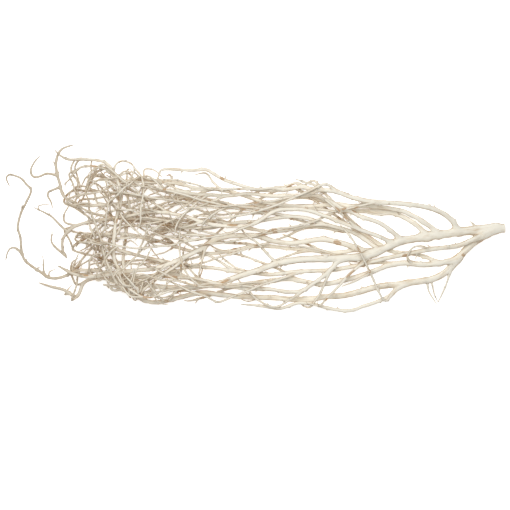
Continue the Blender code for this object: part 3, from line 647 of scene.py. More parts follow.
def bark_distance(points, line, radii):
    """How far each point is outside the bark of a stretch of shoot, and the way out of it."""
    runs = np.diff(line, axis=0)
    from_starts = points[:, None] - line[:-1]
    share = np.clip((from_starts * runs).sum(axis=2) / np.maximum((runs ** 2).sum(axis=1), 1e-9), 0, 1)
    apart = from_starts - share[..., None] * runs
    distance = np.sqrt((apart ** 2).sum(axis=2))
    outside = distance - radii[:-1] - share * np.diff(radii)
    rows, nearest = np.arange(len(points)), outside.argmin(axis=1)
    out = apart[rows, nearest] / np.maximum(distance[rows, nearest], 1e-6)[:, None]
    return outside[rows, nearest], out


def rounded(own, own_out, other, other_out, width):
    """The distance outside two barks whose crease is filled over the width, and the way out."""
    share = np.clip(0.5 + 0.5 * (other - own) / width, 0, 1)
    distance = other * (1 - share) + own * share - width * share * (1 - share)
    way = other_out * (1 - share[:, None]) + own_out * share[:, None]
    return distance, way / np.maximum(np.sqrt((way ** 2).sum(axis=1)), 1e-6)[:, None]


def near_fork(line, root):
    """The stretch of a fine line near a fork, as its points and radii."""
    near = np.nonzero(((line.points - root) ** 2).sum(axis=1) < FORK_REACH ** 2)[0]
    stretch = slice(near[0], near[-1] + 2)
    return line.points[stretch], line.radii[stretch]


def fill_crease(points, own, other, root, width):
    """Moves the points of one shoot's bark out, so that it runs smoothly into the other shoot's."""
    near = np.nonzero(((points - root) ** 2).sum(axis=1) < CREASE_REACH ** 2)[0]
    if not len(near):
        return
    own_stretch, other_stretch = near_fork(own, root), near_fork(other, root)
    moved = points[near]
    bump, _ = bark_distance(moved, *own_stretch)
    depth, _ = bark_distance(moved, *other_stretch)
    within = (depth < width) & (depth > -CREASE_DEEPEST * width)
    near, moved, bump, depth = near[within], moved[within], bump[within], depth[within]
    shown = np.clip(1 + (depth + CREASE_EDGE * width) / (CREASE_FADE * width), 0, 1)
    for _ in range(CREASE_PASSES):
        own_bark, other_bark = bark_distance(moved, *own_stretch), bark_distance(moved, *other_stretch)
        distance, way = rounded(*own_bark, *other_bark, width)
        moved = moved + way * np.clip(bump - distance, 0, width)[:, None] * CREASE_STEP
    points[near] += (moved - points[near]) * shown[:, None]


def points_of(mesh):
    """The mesh's points in millimetres."""
    points = np.empty(len(mesh.vertices) * 3, np.float32)
    mesh.vertices.foreach_get("co", points)
    return points.reshape(-1, 3) / MM


def move_points(mesh, points):
    """Moves the mesh's points to these places in millimetres."""
    mesh.vertices.foreach_set("co", (points * MM).astype(np.float32).ravel())
    mesh.update()


def stored_in(mesh, name):
    """The number that each of the mesh's points carries under the name."""
    values = np.empty(len(mesh.vertices), np.float32)
    mesh.attributes[name].data.foreach_get("value", values)
    return values


def store(mesh, name, values):
    """Stores a number or a vector on each of the mesh's points."""
    values = np.asarray(values, np.float32)
    kind, key = ("FLOAT", "value") if values.ndim == 1 else ("FLOAT_VECTOR", "vector")
    mesh.attributes.new(name, kind, "POINT").data.foreach_set(key, values.ravel())


def new_object(name, data):
    """An object of the scene with this data."""
    made = bpy.data.objects.new(name, data)
    bpy.context.scene.collection.objects.link(made)
    return made


def round_forks(mesh, lines):
    """Fills the crease at every fork of these shoots, and flattens what would sink into the surface."""
    points = points_of(mesh)
    owners = np.round(stored_in(mesh, "shoot")).astype(int)
    for number, line in enumerate(lines):
        mine = np.nonzero(owners == number)[0]
        surface = points[mine]
        for child in [line.shoot] + line.shoot.children:
            if child.parent is None:
                continue
            other = fine_line(child.parent if child is line.shoot else child)
            fill_crease(surface, line, other, child.line[0], FILLET * child.radii[0])
        points[mine] = surface
    points[:, 2] = np.maximum(points[:, 2], owners % RESTING_LEVELS * RESTING_STEP)
    move_points(mesh, points)


class Socket:
    """An output of a node, on which arithmetic adds Math nodes."""

    def __init__(self, graph, output):
        self.graph = graph
        self.output = output

    def math(self, operation, *values):
        return self.graph.add("ShaderNodeMath", {"operation": operation}, dict(enumerate(values)))

    def __add__(self, other):
        return self.math("ADD", self, other)

    def __radd__(self, other):
        return self.math("ADD", other, self)

    def __sub__(self, other):
        return self.math("SUBTRACT", self, other)

    def __mul__(self, other):
        return self.math("MULTIPLY", self, other)

    def clamped(self):
        return self.graph.add("ShaderNodeClamp", {}, {"Value": self})


class Graph:
    """A node tree that is being built."""

    def __init__(self, tree):
        self.tree = tree

    def add(self, kind, settings, values, output=0):
        """Adds a node, sets it, fills or links its sockets, and returns one of its outputs."""
        node = self.tree.nodes.new(kind)
        for name, value in settings.items():
            setattr(node, name, value)
        for key, value in values.items():
            if isinstance(value, Socket):
                self.feed(node, key, value)
            else:
                node.inputs[key].default_value = value
        return Socket(self, node.outputs[output])

    def feed(self, node, key, socket):
        self.tree.links.new(socket.output, node.inputs[key])

    def vector(self, operation, first, second):
        key = "Scale" if operation == "SCALE" else 1
        return self.add("ShaderNodeVectorMath", {"operation": operation}, {0: first, key: second})

    def noise(self, vector, scale, detail=2.0, roughness=0.5):
        values = {"Vector": vector, "Scale": scale, "Detail": detail, "Roughness": roughness}
        return self.add("ShaderNodeTexNoise", {}, values, "Fac")

    def mixed(self, factor, first, second):
        settings = {"data_type": "RGBA", "clamp_factor": True}
        return self.add("ShaderNodeMix", settings, {0: factor, 6: first, 7: second}, 2)

    def ranged(self, value, from_low, from_high, to_low, to_high):
        values = {"Value": value, 1: from_low, 2: from_high, 3: to_low, 4: to_high}
        return self.add("ShaderNodeMapRange", {}, values)

    def stored(self, name, kind="FLOAT"):
        """An attribute of the geometry, in a geometry tree."""
        return self.add("GeometryNodeInputNamedAttribute", {"data_type": kind}, {"Name": name})

    def attribute(self, name, output="Fac"):
        """An attribute of the surface, in a shader tree."""
        return self.add("ShaderNodeAttribute", {"attribute_name": name}, {}, output)


class GeometryTree(Graph):
    """A geometry node tree with named inputs, which ends in real geometry with a material."""

    def __init__(self, name, inputs):
        super().__init__(bpy.data.node_groups.new(name, "GeometryNodeTree"))
        interface = self.tree.interface
        interface.new_socket("Geometry", in_out="OUTPUT", socket_type="NodeSocketGeometry")
        self.identifiers = {}
        for title, kind in (("Geometry", "Geometry"), *inputs, ("Material", "Material")):
            socket = interface.new_socket(title, in_out="INPUT", socket_type="NodeSocket" + kind)
            self.identifiers[title] = socket.identifier
        self.start = self.tree.nodes.new("NodeGroupInput")

    def given(self, title):
        return Socket(self, self.start.outputs[title])

    def keep(self, geometry, name, kind, value):
        """Stores a value on the points of the geometry."""
        return self.add("GeometryNodeStoreNamedAttribute", {"data_type": kind, "domain": "POINT"},
                        {"Geometry": geometry, "Name": name, "Value": value})

    def finish(self, geometry):
        real = self.add("GeometryNodeRealizeInstances", {}, {"Geometry": geometry})
        smooth = self.add("GeometryNodeSetShadeSmooth", {}, {0: real})
        values = {"Geometry": smooth, "Material": self.given("Material")}
        painted = self.add("GeometryNodeSetMaterial", {}, values)
        self.feed(self.tree.nodes.new("NodeGroupOutput"), 0, painted)
        return self

    def made_from(self, mesh, name, values):
        """A plain mesh object that the tree makes from the mesh."""
        source = new_object(name, mesh)
        modifier = source.modifiers.new(name, "NODES")
        modifier.node_group = self.tree
        for title, value in values.items():
            modifier[self.identifiers[title]] = value
        graph = bpy.context.evaluated_depsgraph_get()
        made = bpy.data.meshes.new_from_object(source.evaluated_get(graph))
        source.modifiers.clear()
        source.data = made
        made.name = name
        return source


def line_mesh(lines, name):
    """Bare edges along the lines, with what their tubes need stored on their points."""
    points = np.vstack([line.points for line in lines]) * MM
    counts = [len(line.points) for line in lines]
    starts = np.cumsum([0] + counts[:-1])
    edges = [(start + k, start + k + 1) for start, count in zip(starts, counts) for k in range(count - 1)]
    mesh = bpy.data.meshes.new(name)
    mesh.from_pydata(points.tolist(), edges, [])
    values = {
        "girth": np.concatenate([line.radii for line in lines]) * MM,
        "along": np.concatenate([line.along for line in lines]) * MM,
        "tint": np.repeat([line.tint for line in lines], counts),
        "node": np.concatenate([line.closeness for line in lines]),
        "shelter": np.concatenate([line.shelter for line in lines]),
        "shoot": np.repeat(np.arange(len(lines)), counts),
    }
    for key, value in values.items():
        store(mesh, key, value)
    return mesh


LUMP_LENGTH = 12.0          # of the swellings and hollows of the bark
LUMP_SHARE = 4.0            # how many times shorter they are round the wood
LUMP_SHIFT = 7.3            # of their noise from one shoot to the next


@functools.cache
def tube_tree():
    """Tubes along edges, as thick as their girth says, with uneven bark and a grain that follows them."""
    tree = GeometryTree("wood_tubes", (("Sides", "Int"), ("Unevenness", "Float"), ("Lump length", "Float")))
    curves = tree.add("GeometryNodeMeshToCurve", {}, {"Mesh": tree.given("Geometry")})
    girth = tree.stored("girth")
    values = {"Resolution": tree.given("Sides"), "Radius": 1.0}
    ring = tree.add("GeometryNodeCurvePrimitiveCircle", {}, values)
    turn = tree.add("GeometryNodeSplineParameter", {}, {}, "Factor") * (2 * math.pi)
    ring = tree.keep(ring, "turn", "FLOAT", turn)
    tubes = tree.add("GeometryNodeCurveToMesh", {},
                     {"Curve": curves, "Profile Curve": ring, "Scale": girth, "Fill Caps": True})
    turn = tree.stored("turn")
    across, upward = turn.math("COSINE", turn) * girth, turn.math("SINE", turn) * girth
    grain = tree.add("ShaderNodeCombineXYZ", {}, {"X": tree.stored("along"), "Y": across, "Z": upward})
    tubes = tree.keep(tubes, "grain", "FLOAT_VECTOR", grain)
    shift = tree.stored("shoot") * LUMP_SHIFT
    flutes = tree.vector("DIVIDE", tree.stored("grain", "FLOAT_VECTOR"), tree.given("Lump length"))
    flutes = tree.vector("ADD", tree.vector("MULTIPLY", flutes, (1.0, LUMP_SHARE, LUMP_SHARE)), shift)
    rise = (tree.noise(flutes, 1.0, 2.0) - 0.5) * tree.given("Unevenness") * girth
    offset = tree.vector("SCALE", tree.add("GeometryNodeInputNormal", {}, {}), rise)
    return tree.finish(tree.add("GeometryNodeSetPosition", {}, {"Geometry": tubes, "Offset": offset}))


def tubes_of(kind, name, unevenness):
    """One piece of tubes along every shoot of a generation, with its forks and knots rounded into it."""
    lines = [fine_line(shoot) for shoot in branch().generations[kind]]
    values = {"Sides": FINENESS[kind][1], "Unevenness": unevenness, "Lump length": LUMP_LENGTH * MM,
              "Material": bleached_wood()}
    piece = tube_tree().made_from(line_mesh(lines, name), name, values)
    round_forks(piece.data, lines)
    swell_at_knots(piece.data, kind)
    return piece


KNOT_SHARE = {"placed": 0.8, "runner": 0.7, "side_shoot": 0.6, "fine_shoot": 0.5}
KNOT_LENGTH = (0.4, 0.8)        # in radii of the wood, as are the next two
KNOT_WIDTH = (0.35, 0.6)
KNOT_RISE = (0.15, 0.4)
KNOT_BASE = 0.5                 # added to each of them
KNOT_SUNK = 0.12                # how deep its middle sits in the bark, in radii
KNOT_SPINS = (-0.25, 1.25)      # where it sits round the wood, in half turns, from level on one side
KNOT_DARKNESS = (0.2, 0.9)
KNOT_SEGMENTS = 8
KNOT_RINGS = 5
KNOT_LUMPS = 700.0              # scale of the noise that makes it lumpy
KNOT_SWELLING = 0.22            # how far the wood swells round a knot, in radii
KNOT_REACH = 1.3                # how far that swelling reaches, in radii
RESTING = 0.5                   # bark that lies lower than this stays where it is


class Knot(NamedTuple):
    """A knot on the bark: its place, its directions and the wood that it sits on."""

    place: np.ndarray
    heading: np.ndarray
    out: np.ndarray
    sizes: tuple
    girth: float
    tint: float
    shelter: float
    node: float


@functools.cache
def knots_of(kind):
    """Knots at some of the nodes of a generation, mostly on the upper side."""
    draw = random.Random(kind)
    knots = []
    for line in map(fine_line, branch().generations[kind]):
        for place in line.nodes:
            point, heading, radius, shelter = line.at(place)
            out = way_out(heading, draw.uniform(*KNOT_SPINS) * math.pi)
            sizes = tuple(radius * draw.uniform(*share) + KNOT_BASE
                          for share in (KNOT_LENGTH, KNOT_WIDTH, KNOT_RISE))
            spot = point + out * radius * (1 - KNOT_SUNK + KNOT_SWELLING)
            if draw.random() < KNOT_SHARE.get(kind, 0.0) and spot[2] > sum(sizes):
                dark = draw.uniform(*KNOT_DARKNESS)
                knots.append(Knot(spot, heading, out, sizes, radius, line.tint, shelter, dark))
    return knots


def swell_at_knots(mesh, kind):
    """Raises the bark round every knot."""
    points = points_of(mesh)
    heights = points[:, 2].copy()
    order = np.argsort(points[:, 0])
    sorted_x = points[order, 0]
    for knot in knots_of(kind):
        reach = KNOT_REACH * knot.girth
        first, last = np.searchsorted(sorted_x, (knot.place[0] - 2 * reach, knot.place[0] + 2 * reach))
        near = order[first:last]
        apart = ((points[near] - knot.place) ** 2).sum(axis=1)
        near, apart = near[apart < 4 * reach ** 2], apart[apart < 4 * reach ** 2]
        rise = KNOT_SWELLING * knot.girth * np.exp(-apart / reach ** 2)
        points[near] += rise[:, None] * knot.out
    points[:, 2] = np.maximum(points[:, 2], np.minimum(heights, RESTING))
    move_points(mesh, points)


def knot_points():
    """Bare points on the bark where knots sit, with what the knots need stored on them."""
    knots = [knot for kind in KNOT_SHARE for knot in knots_of(kind)]
    mesh = bpy.data.meshes.new("knots")
    mesh.from_pydata([tuple(knot.place * MM) for knot in knots], [], [])
    turns = [Matrix((k.heading, np.cross(k.out, k.heading), k.out)).transposed().to_euler() for k in knots]
    store(mesh, "turned", [tuple(turn) for turn in turns])
    store(mesh, "size", np.array([knot.sizes for knot in knots]) * MM)
    store(mesh, "girth", np.array([knot.girth for knot in knots]) * MM)
    for name in ("tint", "shelter", "node"):
        store(mesh, name, [getattr(knot, name) for knot in knots])
    return mesh


@functools.cache
def knot_tree():
    """A lumpy knot at every point."""
    tree = GeometryTree("knots", (("Unevenness", "Float"),))
    lump = tree.add("GeometryNodeMeshUVSphere", {}, {"Segments": KNOT_SEGMENTS, "Rings": KNOT_RINGS})
    knots = tree.add("GeometryNodeInstanceOnPoints", {}, {
        "Points": tree.given("Geometry"), "Instance": lump, "Rotation": tree.stored("turned", "FLOAT_VECTOR"),
        "Scale": tree.stored("size", "FLOAT_VECTOR")})
    knots = tree.add("GeometryNodeRealizeInstances", {}, {"Geometry": knots})
    place = tree.add("GeometryNodeInputPosition", {}, {})
    rise = (tree.noise(place, KNOT_LUMPS, 1.0) - 0.5) * tree.given("Unevenness") * tree.stored("girth")
    offset = tree.vector("SCALE", tree.add("GeometryNodeInputNormal", {}, {}), rise)
    knots = tree.add("GeometryNodeSetPosition", {}, {"Geometry": knots, "Offset": offset})
    return tree.finish(tree.keep(knots, "grain", "FLOAT_VECTOR", place))


FLECK_LENGTH = (6.0, 26.0)
FLECK_ENDS = 30.0               # flecks keep this far from both ends of a shoot
FLECK_SHOOT = 90.0              # and sit on shoots that are longer than this
FLECK_SPAN = (50, 130)          # how far a fleck reaches round the stem, in degrees
FLECK_OFF = 1.04                # how far it is from the middle line, in radii
FLECK_CURL = 0.9                # how far its edges stand off the wood
FLECK_THICKNESS = 0.3
FLECK_GIRTH = 3.0               # of wood that has its colour
FLECK_GRID = (8, 6)             # points along and round


def fleck(draw, line, place):
    """Points of one fleck of inner bark that still clings to the wood, in rows along the stem."""
    rows, columns = FLECK_GRID
    length = draw.uniform(*FLECK_LENGTH)
    middle = draw.uniform(0.0, 1.0) * math.pi
    span = math.radians(draw.uniform(*FLECK_SPAN))
    ragged = [draw.uniform(0.55, 1.0) for _ in range(columns)]
    points = []
    for row in range(rows):
        for column in range(columns):
            u = (row / (rows - 1) - 0.5) * ragged[column]
            v = (column / (columns - 1) - 0.5) * (1 - 0.5 * abs(2 * u))
            point, heading, radius, _ = line.between(place + u * length)
            curl = FLECK_CURL * max(abs(2 * u), abs(2 * v)) ** 3 * draw.uniform(0.4, 1.0)
            out = way_out(heading, middle + v * span)
            points.append((point + out * (radius * FLECK_OFF + curl)) * MM)
    return points


def fleck_mesh(flecks):
    """The flecks as curved sheets."""
    draw = random.Random(SEED + 30)
    rows, columns = FLECK_GRID
    shoots = branch().generations["placed"] + branch().generations["runner"]
    lines = [fine_line(shoot) for shoot in shoots if shoot.along[-1] > FLECK_SHOOT]
    points, faces, overhead_shades, tints = [], [], [], []
    for _ in range(flecks):
        line = draw.choice(lines)
        place = draw.uniform(FLECK_ENDS, line.shoot.along[-1] - FLECK_ENDS)
        start = len(points)
        points += fleck(draw, line, place)
        overhead_shades += [line.at(place)[3]] * rows * columns
        tints += [draw.random()] * rows * columns
        for row in range(rows - 1):
            for column in range(columns - 1):
                corner = start + row * columns + column
                faces.append((corner, corner + columns, corner + columns + 1, corner + 1))
    mesh = bpy.data.meshes.new("bark_flecks")
    mesh.from_pydata([tuple(point) for point in points], [], faces)
    store(mesh, "grain", points)
    store(mesh, "shelter", overhead_shades)
    store(mesh, "tint", tints)
    store(mesh, "bark", np.ones(len(points)))
    store(mesh, "girth", np.full(len(points), FLECK_GIRTH * MM))
    return mesh


CUT_RINGS = (1.0, 0.985, 0.93, 0.86, 0.77, 0.68, 0.58, 0.48, 0.38, 0.27, 0.16, 0.07)
RIM_REACH = 0.1                 # points of the bark this near its root make the rim
CUT_FINER = 3                   # points round it for each of the bark's
CUT_BULGE = 0.5
CUT_CHECKS = ((0.7, 1.0), (2.5, 0.7), (4.4, 0.85))      # cracks: direction in radians, and depth in mm
CUT_CHECK_SHARPNESS = 6.0
CUT_GRAIN = (2.0, 0.2)          # place of its grain along the wood, and how uneven its growth rings are
CUT_PITH = 8.0                  # sharpness of the dark middle
CUT_BARK = (0.95, 0.7)          # where the dark edge starts, and how dark it is
BUTT_GIRTH = 9.0


def cut_face_mesh(wood):
    """The sawn face on the butt: from its bark inwards in rings, with drying cracks."""
    first_ring = (np.round(stored_in(wood, "shoot")) == 0) & (stored_in(wood, "along") < RIM_REACH * MM)
    rim = points_of(wood)[first_ring] * MM
    centre = rim.mean(axis=0)
    angles = np.arctan2(rim[:, 2] - centre[2], rim[:, 1] - centre[1])
    order = np.argsort(angles)
    rim, angles = rim[order], angles[order]
    finer = np.linspace(-math.pi, math.pi, CUT_FINER * len(rim), endpoint=False)
    rim = np.stack([np.interp(finer, angles, rim[:, k], period=2 * math.pi) for k in range(3)], axis=1)
    girth = np.sqrt(((rim - centre) ** 2).sum(axis=1)).mean()
    sides = len(finer)
    rings, grain = [], []
    for share in CUT_RINGS:
        ring = centre + (rim - centre) * share
        bulge = CUT_BULGE * MM * (1 - share ** 6)
        crack = np.zeros(sides)
        for turn, depth in CUT_CHECKS:
            aside = np.angle(np.exp(1j * (finer - turn))) * share * CUT_CHECK_SHARPNESS
            crack += depth * np.exp(-aside ** 2) * min(1.0, 3 * share)
        ring[:, 0] += bulge - crack * MM * (1 - share ** 8)
        rings.append(ring)
        along, uneven = np.array(CUT_GRAIN) * MM
        grain.append([(along, girth * share, math.sin(angle) * uneven) for angle in finer])
    points = np.vstack([*rings, centre + (CUT_BULGE * MM, 0, 0)])
    grain = np.vstack([*grain, np.zeros(3)])
    faces = []
    for ring in range(len(CUT_RINGS) - 1):
        for k in range(sides):
            a, b = ring * sides + k, ring * sides + (k + 1) % sides
            faces.append((a, b, b + sides, a + sides))
    last = (len(CUT_RINGS) - 1) * sides
    faces += [(last + k, last + (k + 1) % sides, len(points) - 1) for k in range(sides)]
    mesh = bpy.data.meshes.new("cut_face")
    mesh.from_pydata(points.tolist(), [], faces)
    shares = np.append(np.repeat(CUT_RINGS, sides), 0.0)
    edge, darkness = CUT_BARK
    store(mesh, "grain", grain)
    store(mesh, "cut", np.ones(len(points)))
    store(mesh, "node", np.exp(-(shares * CUT_PITH) ** 2) + (shares > edge) * darkness)
    store(mesh, "girth", np.full(len(points), BUTT_GIRTH * MM))
    store(mesh, "tint", np.full(len(points), 0.5))
    mesh.shade_smooth()
    return mesh


# How fast the noises of the wood change in a metre, along it and round it.
FINE_GRAIN = (110.0, 1500.0, 1500.0)
STREAKS = (16.0, 420.0, 420.0)
BROAD_GRAIN = (45.0, 170.0, 170.0)
BLOTCHES = 30.0
GRAIN_SHIFT = 3.0               # of the grain from one shoot to the next
TWIG_GIRTHS = (3.6, 1.4)        # where wood starts to look like a twig, and where it does in full
OUTER_TWIGS = (-270.0, -400.0)  # where the outer twigs start to be darker, and where they are in full
OUTER_SHARE = 0.45
ROUGHNESS = (0.72, 0.16)        # least, and more by the grain
BUMP = 0.5                      # depth of the grain


@functools.cache
def bleached_wood():
    """Pale dry wood: long grain, tan in patches and where it is thin, painted shade on its steep sides and
    where other wood lies over it, and dark at nodes and broken tips.
    """
    colours = bpy.context.scene.branch_colours
    material, tree, shader = new_material("bleached_wood")
    tint, node, bark = tree.attribute("tint"), tree.attribute("node"), tree.attribute("bark")
    shelter, girth, cut = tree.attribute("shelter"), tree.attribute("girth"), tree.attribute("cut")
    grain = tree.vector("ADD", tree.attribute("grain", "Vector"), tint * GRAIN_SHIFT)
    place = tree.add("ShaderNodeTexCoord", {}, {}, "Object")
    fine = tree.noise(tree.vector("MULTIPLY", grain, FINE_GRAIN), 1.0, 3.0, 0.6)
    streaks = tree.noise(tree.vector("MULTIPLY", grain, STREAKS), 1.0, 4.0, 0.6)
    broad = tree.noise(tree.vector("MULTIPLY", grain, BROAD_GRAIN), 1.0, 3.0, 0.6)
    blotches = tree.noise(place, BLOTCHES, 3.0, 0.55)
    # The wood's slope: its steep sides get painted shade.
    normal = tree.add("ShaderNodeNewGeometry", {}, {}, "Normal")
    upward = tree.add("ShaderNodeSeparateXYZ", {}, {"Vector": normal}, "Z")
    upward = upward.math("ABSOLUTE", upward)
    side_shade = tree.ranged(upward, 0.75, 0.0, 0.0, 1.0)
    thin = tree.ranged(girth, *(radius * MM for radius in TWIG_GIRTHS), 0.0, 1.0)
    # Tan in patches and along the grain, which the wood has, and painted shade: tan on the steep sides.
    tan = side_shade * 0.8 + tint * 0.2 + (blotches - 0.5) * 1.2 + (broad - 0.5) * 1.6
    tan = tan + (streaks - 0.5) * 0.9 - 0.1
    wood = tree.mixed(tan.clamped(), linear(colours.pale), linear(colours.tan))
    # Thin twigs, and more so the outer ones; more so again on their steep sides, which is painted shade.
    outer = tree.add("ShaderNodeSeparateXYZ", {}, {"Vector": place}, "X")
    outer = tree.ranged(outer, *(x * MM for x in OUTER_TWIGS), 0.0, OUTER_SHARE)
    wood = tree.mixed((thin * (0.2 + side_shade * 0.5) + outer).clamped(), wood, linear(colours.twig))
    # Painted shade: steep sides darker, more so where other wood lies over them; wood that other wood lies
    # over warmer; and crevices deep inside dark.
    rim = tree.ranged(upward, 0.66, 0.1, 0.0, 1.0) * (shelter * 0.45 + 0.55)
    wood = tree.mixed(rim, wood, linear(colours.side))
    # Painted shade: a warmer tone where other wood lies over the wood.
    wood = tree.mixed((shelter * 0.2).clamped(), wood, linear(colours.deep))
    # Painted shade: dark orange-brown crevices on steep sides that other wood lies over, broken up by
    # blotches and streaks.
    inner = shelter * 0.3 + side_shade * shelter * 1.5 + (blotches - 0.5) * 1.2 + (streaks - 0.5) * 1.3
    inner = (inner - 0.32).clamped() * 0.85
    wood = tree.mixed(inner, wood, linear(colours.inner))
    # Remnants of inner bark, which the wood has, laid more where painted shade falls: under other wood and on
    # the steep sides. And the flecks.
    remnant = (blotches - 0.56) * 5.0 + (streaks - 0.55) * 4.0 + shelter * 0.9 + side_shade * 0.3
    remnant = (remnant - 0.9).clamped()
    wood = tree.mixed((remnant * 0.6 + bark * (0.3 + streaks * 0.8)).clamped(), wood, linear(colours.bark))
    # The sawn face.
    wood = tree.mixed(cut * 0.6, wood, linear(colours.tan))
    wood = tree.mixed((cut * (fine - 0.42) * 4.0).clamped() * 0.6, wood, linear(colours.node))
    # Nodes, broken tips and fine streaks.
    dark = node * (0.45 + thin * 0.5) + (fine - 0.5) * 1.9 + (tint - 0.5) * 0.5
    dark = (dark - 0.55).clamped() * 0.85
    wood = tree.mixed(dark, wood, linear(colours.node))
    wood = tree.mixed(((fine - 0.58) * 2.4).clamped() * 0.45, wood, linear(colours.tan))
    least, more = ROUGHNESS
    height = fine + streaks * 1.5
    tree.feed(shader, "Base Color", wood)
    tree.feed(shader, "Roughness", least + fine * more)
    shader.inputs["Specular IOR Level"].default_value = 0.3
    bump = tree.add("ShaderNodeBump", {}, {"Strength": 0.6, "Distance": BUMP * MM, "Height": height})
    tree.feed(shader, "Normal", bump)
    return material


def new_material(name):
    """A material with its graph and its main shader node."""
    material = bpy.data.materials.new(name)
    material.use_nodes = True
    return material, Graph(material.node_tree), material.node_tree.nodes["Principled BSDF"]


def linear(colour):
    """A screen colour as the linear colour that a shader takes."""
    return (*(((c + 0.055) / 1.055) ** 2.4 if c > 0.04045 else c / 12.92 for c in colour[:3]), 1.0)


def colour_property(name, description, red, green, blue):
    return bpy.props.FloatVectorProperty(name=name, description=description, subtype="COLOR_GAMMA", size=3,
                                         min=0.0, max=1.0, default=(red / 255, green / 255, blue / 255))


class BranchSizes(bpy.types.PropertyGroup):
    """Sizes that a user would change."""

    unevenness: bpy.props.FloatProperty(
        name="Unevenness", description="Swellings and hollows of the bark, as a share of the radius",
        default=0.35, min=0.0, max=1.0, subtype="FACTOR")
    flecks: bpy.props.IntProperty(
        name="Bark flecks", description="How many flecks of inner bark cling to the wood",
        default=120, min=1, max=400)


class BranchColours(bpy.types.PropertyGroup):
    """Colours as they show on a screen."""

    pale: colour_property("Pale wood", "Bleached wood in the open", 232, 227, 213)
    tan: colour_property("Tan wood", "Wood that is less bleached", 194, 169, 131)
    twig: colour_property("Twigs", "The thinnest twigs", 156, 135, 104)
    # Painted shade: the next three colours darken and warm the wood on its steep sides, where other wood lies
    # over it, and in its crevices.
    side: colour_property("Sides", "Painted shade on the steep sides of the wood", 158, 124, 78)
    deep: colour_property("Deep wood", "Painted warm shade on wood deep inside the branch", 220, 192, 148)
    inner: colour_property("Crevices", "Painted shade in crevices deep inside the branch", 166, 104, 46)
    bark: colour_property("Bark", "Remnants of inner bark", 168, 126, 76)
    node: colour_property("Nodes", "Nodes and broken tips", 92, 70, 50)
    floor: colour_property("Floor", "The floor that the branch lies on", 250, 250, 250)


def part_of_branch(piece):
    """Makes the piece part of the branch: it rides on its body."""
    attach(piece, BODY)
    return piece


def wooden_object(mesh):
    """An object of bleached wood with the mesh and its name."""
    mesh.materials.append(bleached_wood())
    return new_object(mesh.name, mesh)


class BRANCH_OT_heavy_wood(bpy.types.Operator):
    """The main stem with its forks, arches, boughs and limbs"""

    bl_idname = "branch.heavy_wood"
    bl_label = "Heavy wood"

    def execute(self, context):
        piece = part_of_branch(tubes_of("placed", "heavy_wood", context.scene.branch_sizes.unevenness))
        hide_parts("branch")
        return {"FINISHED"}


class GrowsTubes:
    """An operator that makes a piece of tubes for each of its generations."""

    generations = ()

    def execute(self, context):
        for kind in self.generations:
            part_of_branch(tubes_of(kind, kind + "s", context.scene.branch_sizes.unevenness))
        return {"FINISHED"}


class BRANCH_OT_runners(GrowsTubes, bpy.types.Operator):
    """The long thin runners along the stems"""

    bl_idname = "branch.runners"
    bl_label = "Runners"
    generations = ("runner",)


class BRANCH_OT_side_shoots(GrowsTubes, bpy.types.Operator):
    """The side shoots of the stems and runners"""

    bl_idname = "branch.side_shoots"
    bl_label = "Side shoots"
    generations = ("side_shoot", "fine_shoot")


class BRANCH_OT_twiglets(GrowsTubes, bpy.types.Operator):
    """The last twigs, the broken spurs and the loose fibres"""

    bl_idname = "branch.twiglets"
    bl_label = "Twiglets"
    generations = ("twiglet", "spur", "fibre")


class BRANCH_OT_cut_face(bpy.types.Operator):
    """The sawn face on the butt, with growth rings and drying cracks"""

    bl_idname = "branch.cut_face"
    bl_label = "Cut face"

    def execute(self, context):
        part_of_branch(wooden_object(cut_face_mesh(bpy.data.objects["heavy_wood"].data)))
        return {"FINISHED"}


class BRANCH_OT_knots(bpy.types.Operator):
    """Knots at the nodes of the wood"""

    bl_idname = "branch.knots"
    bl_label = "Knots"

    def execute(self, context):
        values = {"Unevenness": context.scene.branch_sizes.unevenness, "Material": bleached_wood()}
        part_of_branch(knot_tree().made_from(knot_points(), "knots", values))
        return {"FINISHED"}


class BRANCH_OT_bark_flecks(bpy.types.Operator):
    """Flecks of inner bark that still cling to the wood"""

    bl_idname = "branch.bark_flecks"
    bl_label = "Bark flecks"

    def execute(self, context):
        flecks = wooden_object(fleck_mesh(context.scene.branch_sizes.flecks))
        flecks.modifiers.new("thickness", "SOLIDIFY").thickness = FLECK_THICKNESS * MM
        part_of_branch(flecks)
        return {"FINISHED"}


FLOOR_SIZE = 14.0
FLOOR_BELOW = 0.3 * MM
FLOOR_ROUGHNESS = 0.9
FLOOR_GLOW = 0.5
SKY_LIGHT = 0.25
WHITE = (1.0, 1.0, 1.0, 1.0)
LIGHTS = (      # name, place, what it points at, size and power
    ("key", (-0.2, 0.5, 2.8), (-0.1, 0.0, 0.05), 1.8, 77.0),
    ("fill", (-1.8, 1.2, 2.2), (0.0, 0.0, 0.05), 1.6, 7.0),
)
PICTURE_CENTRE = Vector((-6.0, -52.0, 50.0)) * MM   # in the branch's growing places
PICTURE_WIDTH = 1020.0 * MM
LENS = 200.0
SENSOR = 36.0
CAMERA_REACH = 50.0


class BRANCH_OT_stage(bpy.types.Operator):
    """A white floor, soft light from the back and a camera straight above"""

    bl_idname = "branch.stage"
    bl_label = "Stage"

    def execute(self, context):
        floor_under(context)
        daylight(context)
        look_down(context)
        return {"FINISHED"}


def floor_under(context):
    mesh = bpy.data.meshes.new("floor")
    half = FLOOR_SIZE / 2
    corners = ((-half, -half), (half, -half), (half, half), (-half, half))
    mesh.from_pydata([(x, y, -FLOOR_BELOW) for x, y in corners], [], [(0, 1, 2, 3)])
    material, _, shader = new_material("floor")
    values = {"Base Color": linear(context.scene.branch_colours.floor), "Roughness": FLOOR_ROUGHNESS,
              "Emission Color": WHITE, "Emission Strength": FLOOR_GLOW}
    for key, value in values.items():
        shader.inputs[key].default_value = value
    mesh.materials.append(material)
    floor = new_object("floor", mesh)


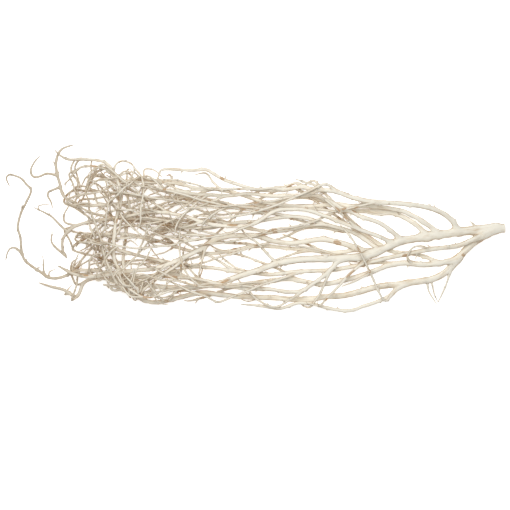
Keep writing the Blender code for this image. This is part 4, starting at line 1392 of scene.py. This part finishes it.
def daylight(context):
    world = bpy.data.worlds.new("studio")
    context.scene.world = world
    world.use_nodes = True
    background = world.node_tree.nodes["Background"]
    background.inputs["Color"].default_value = WHITE
    background.inputs["Strength"].default_value = SKY_LIGHT
    for name, place, target, size, power in LIGHTS:
        light = bpy.data.lights.new(name, "AREA")
        light.size = size
        light.energy = power
        lamp = new_object(name, light)
        lamp.location = place
        lamp.rotation_euler = (Vector(target) - Vector(place)).to_track_quat("-Z", "Y").to_euler()
        lamp.visible_camera = False
    context.scene.view_settings.view_transform = "Standard"


def look_down(context):
    camera = bpy.data.cameras.new("camera")
    camera.lens = LENS
    camera.sensor_width = SENSOR
    camera.clip_end = CAMERA_REACH
    eye = new_object("camera", camera)
    centre = PICTURE_CENTRE + Vector(branch().shift * MM)
    eye.location = centre + Vector((0.0, 0.0, PICTURE_WIDTH * LENS / SENSOR))
    context.scene.camera = eye


OPERATORS = (BRANCH_OT_heavy_wood, BRANCH_OT_cut_face, BRANCH_OT_runners, BRANCH_OT_side_shoots,
             BRANCH_OT_twiglets, BRANCH_OT_knots, BRANCH_OT_bark_flecks, BRANCH_OT_stage)


class BRANCH_PT_panel(bpy.types.Panel):
    """The branch's sizes, colours and pieces"""

    bl_label = "Branch"
    bl_idname = "BRANCH_PT_panel"
    bl_space_type = "VIEW_3D"
    bl_region_type = "UI"
    bl_category = "Branch"

    def draw(self, context):
        for group in (context.scene.branch_sizes, context.scene.branch_colours):
            for name in group.__annotations__:
                self.layout.prop(group, name)
        for operator in OPERATORS:
            self.layout.operator(operator.bl_idname)


CLASSES = (BranchSizes, BranchColours, *OPERATORS, BRANCH_PT_panel)


def register():
    for kind in CLASSES:
        bpy.utils.register_class(kind)
    bpy.types.Scene.branch_sizes = bpy.props.PointerProperty(type=BranchSizes)
    bpy.types.Scene.branch_colours = bpy.props.PointerProperty(type=BranchColours)


def unregister():
    del bpy.types.Scene.branch_colours
    del bpy.types.Scene.branch_sizes
    for kind in reversed(CLASSES):
        bpy.utils.unregister_class(kind)


def main():
    register()
    for operator in OPERATORS:
        getattr(bpy.ops.branch, operator.bl_idname.split(".")[1])()


if __name__ == "__main__":
    main()
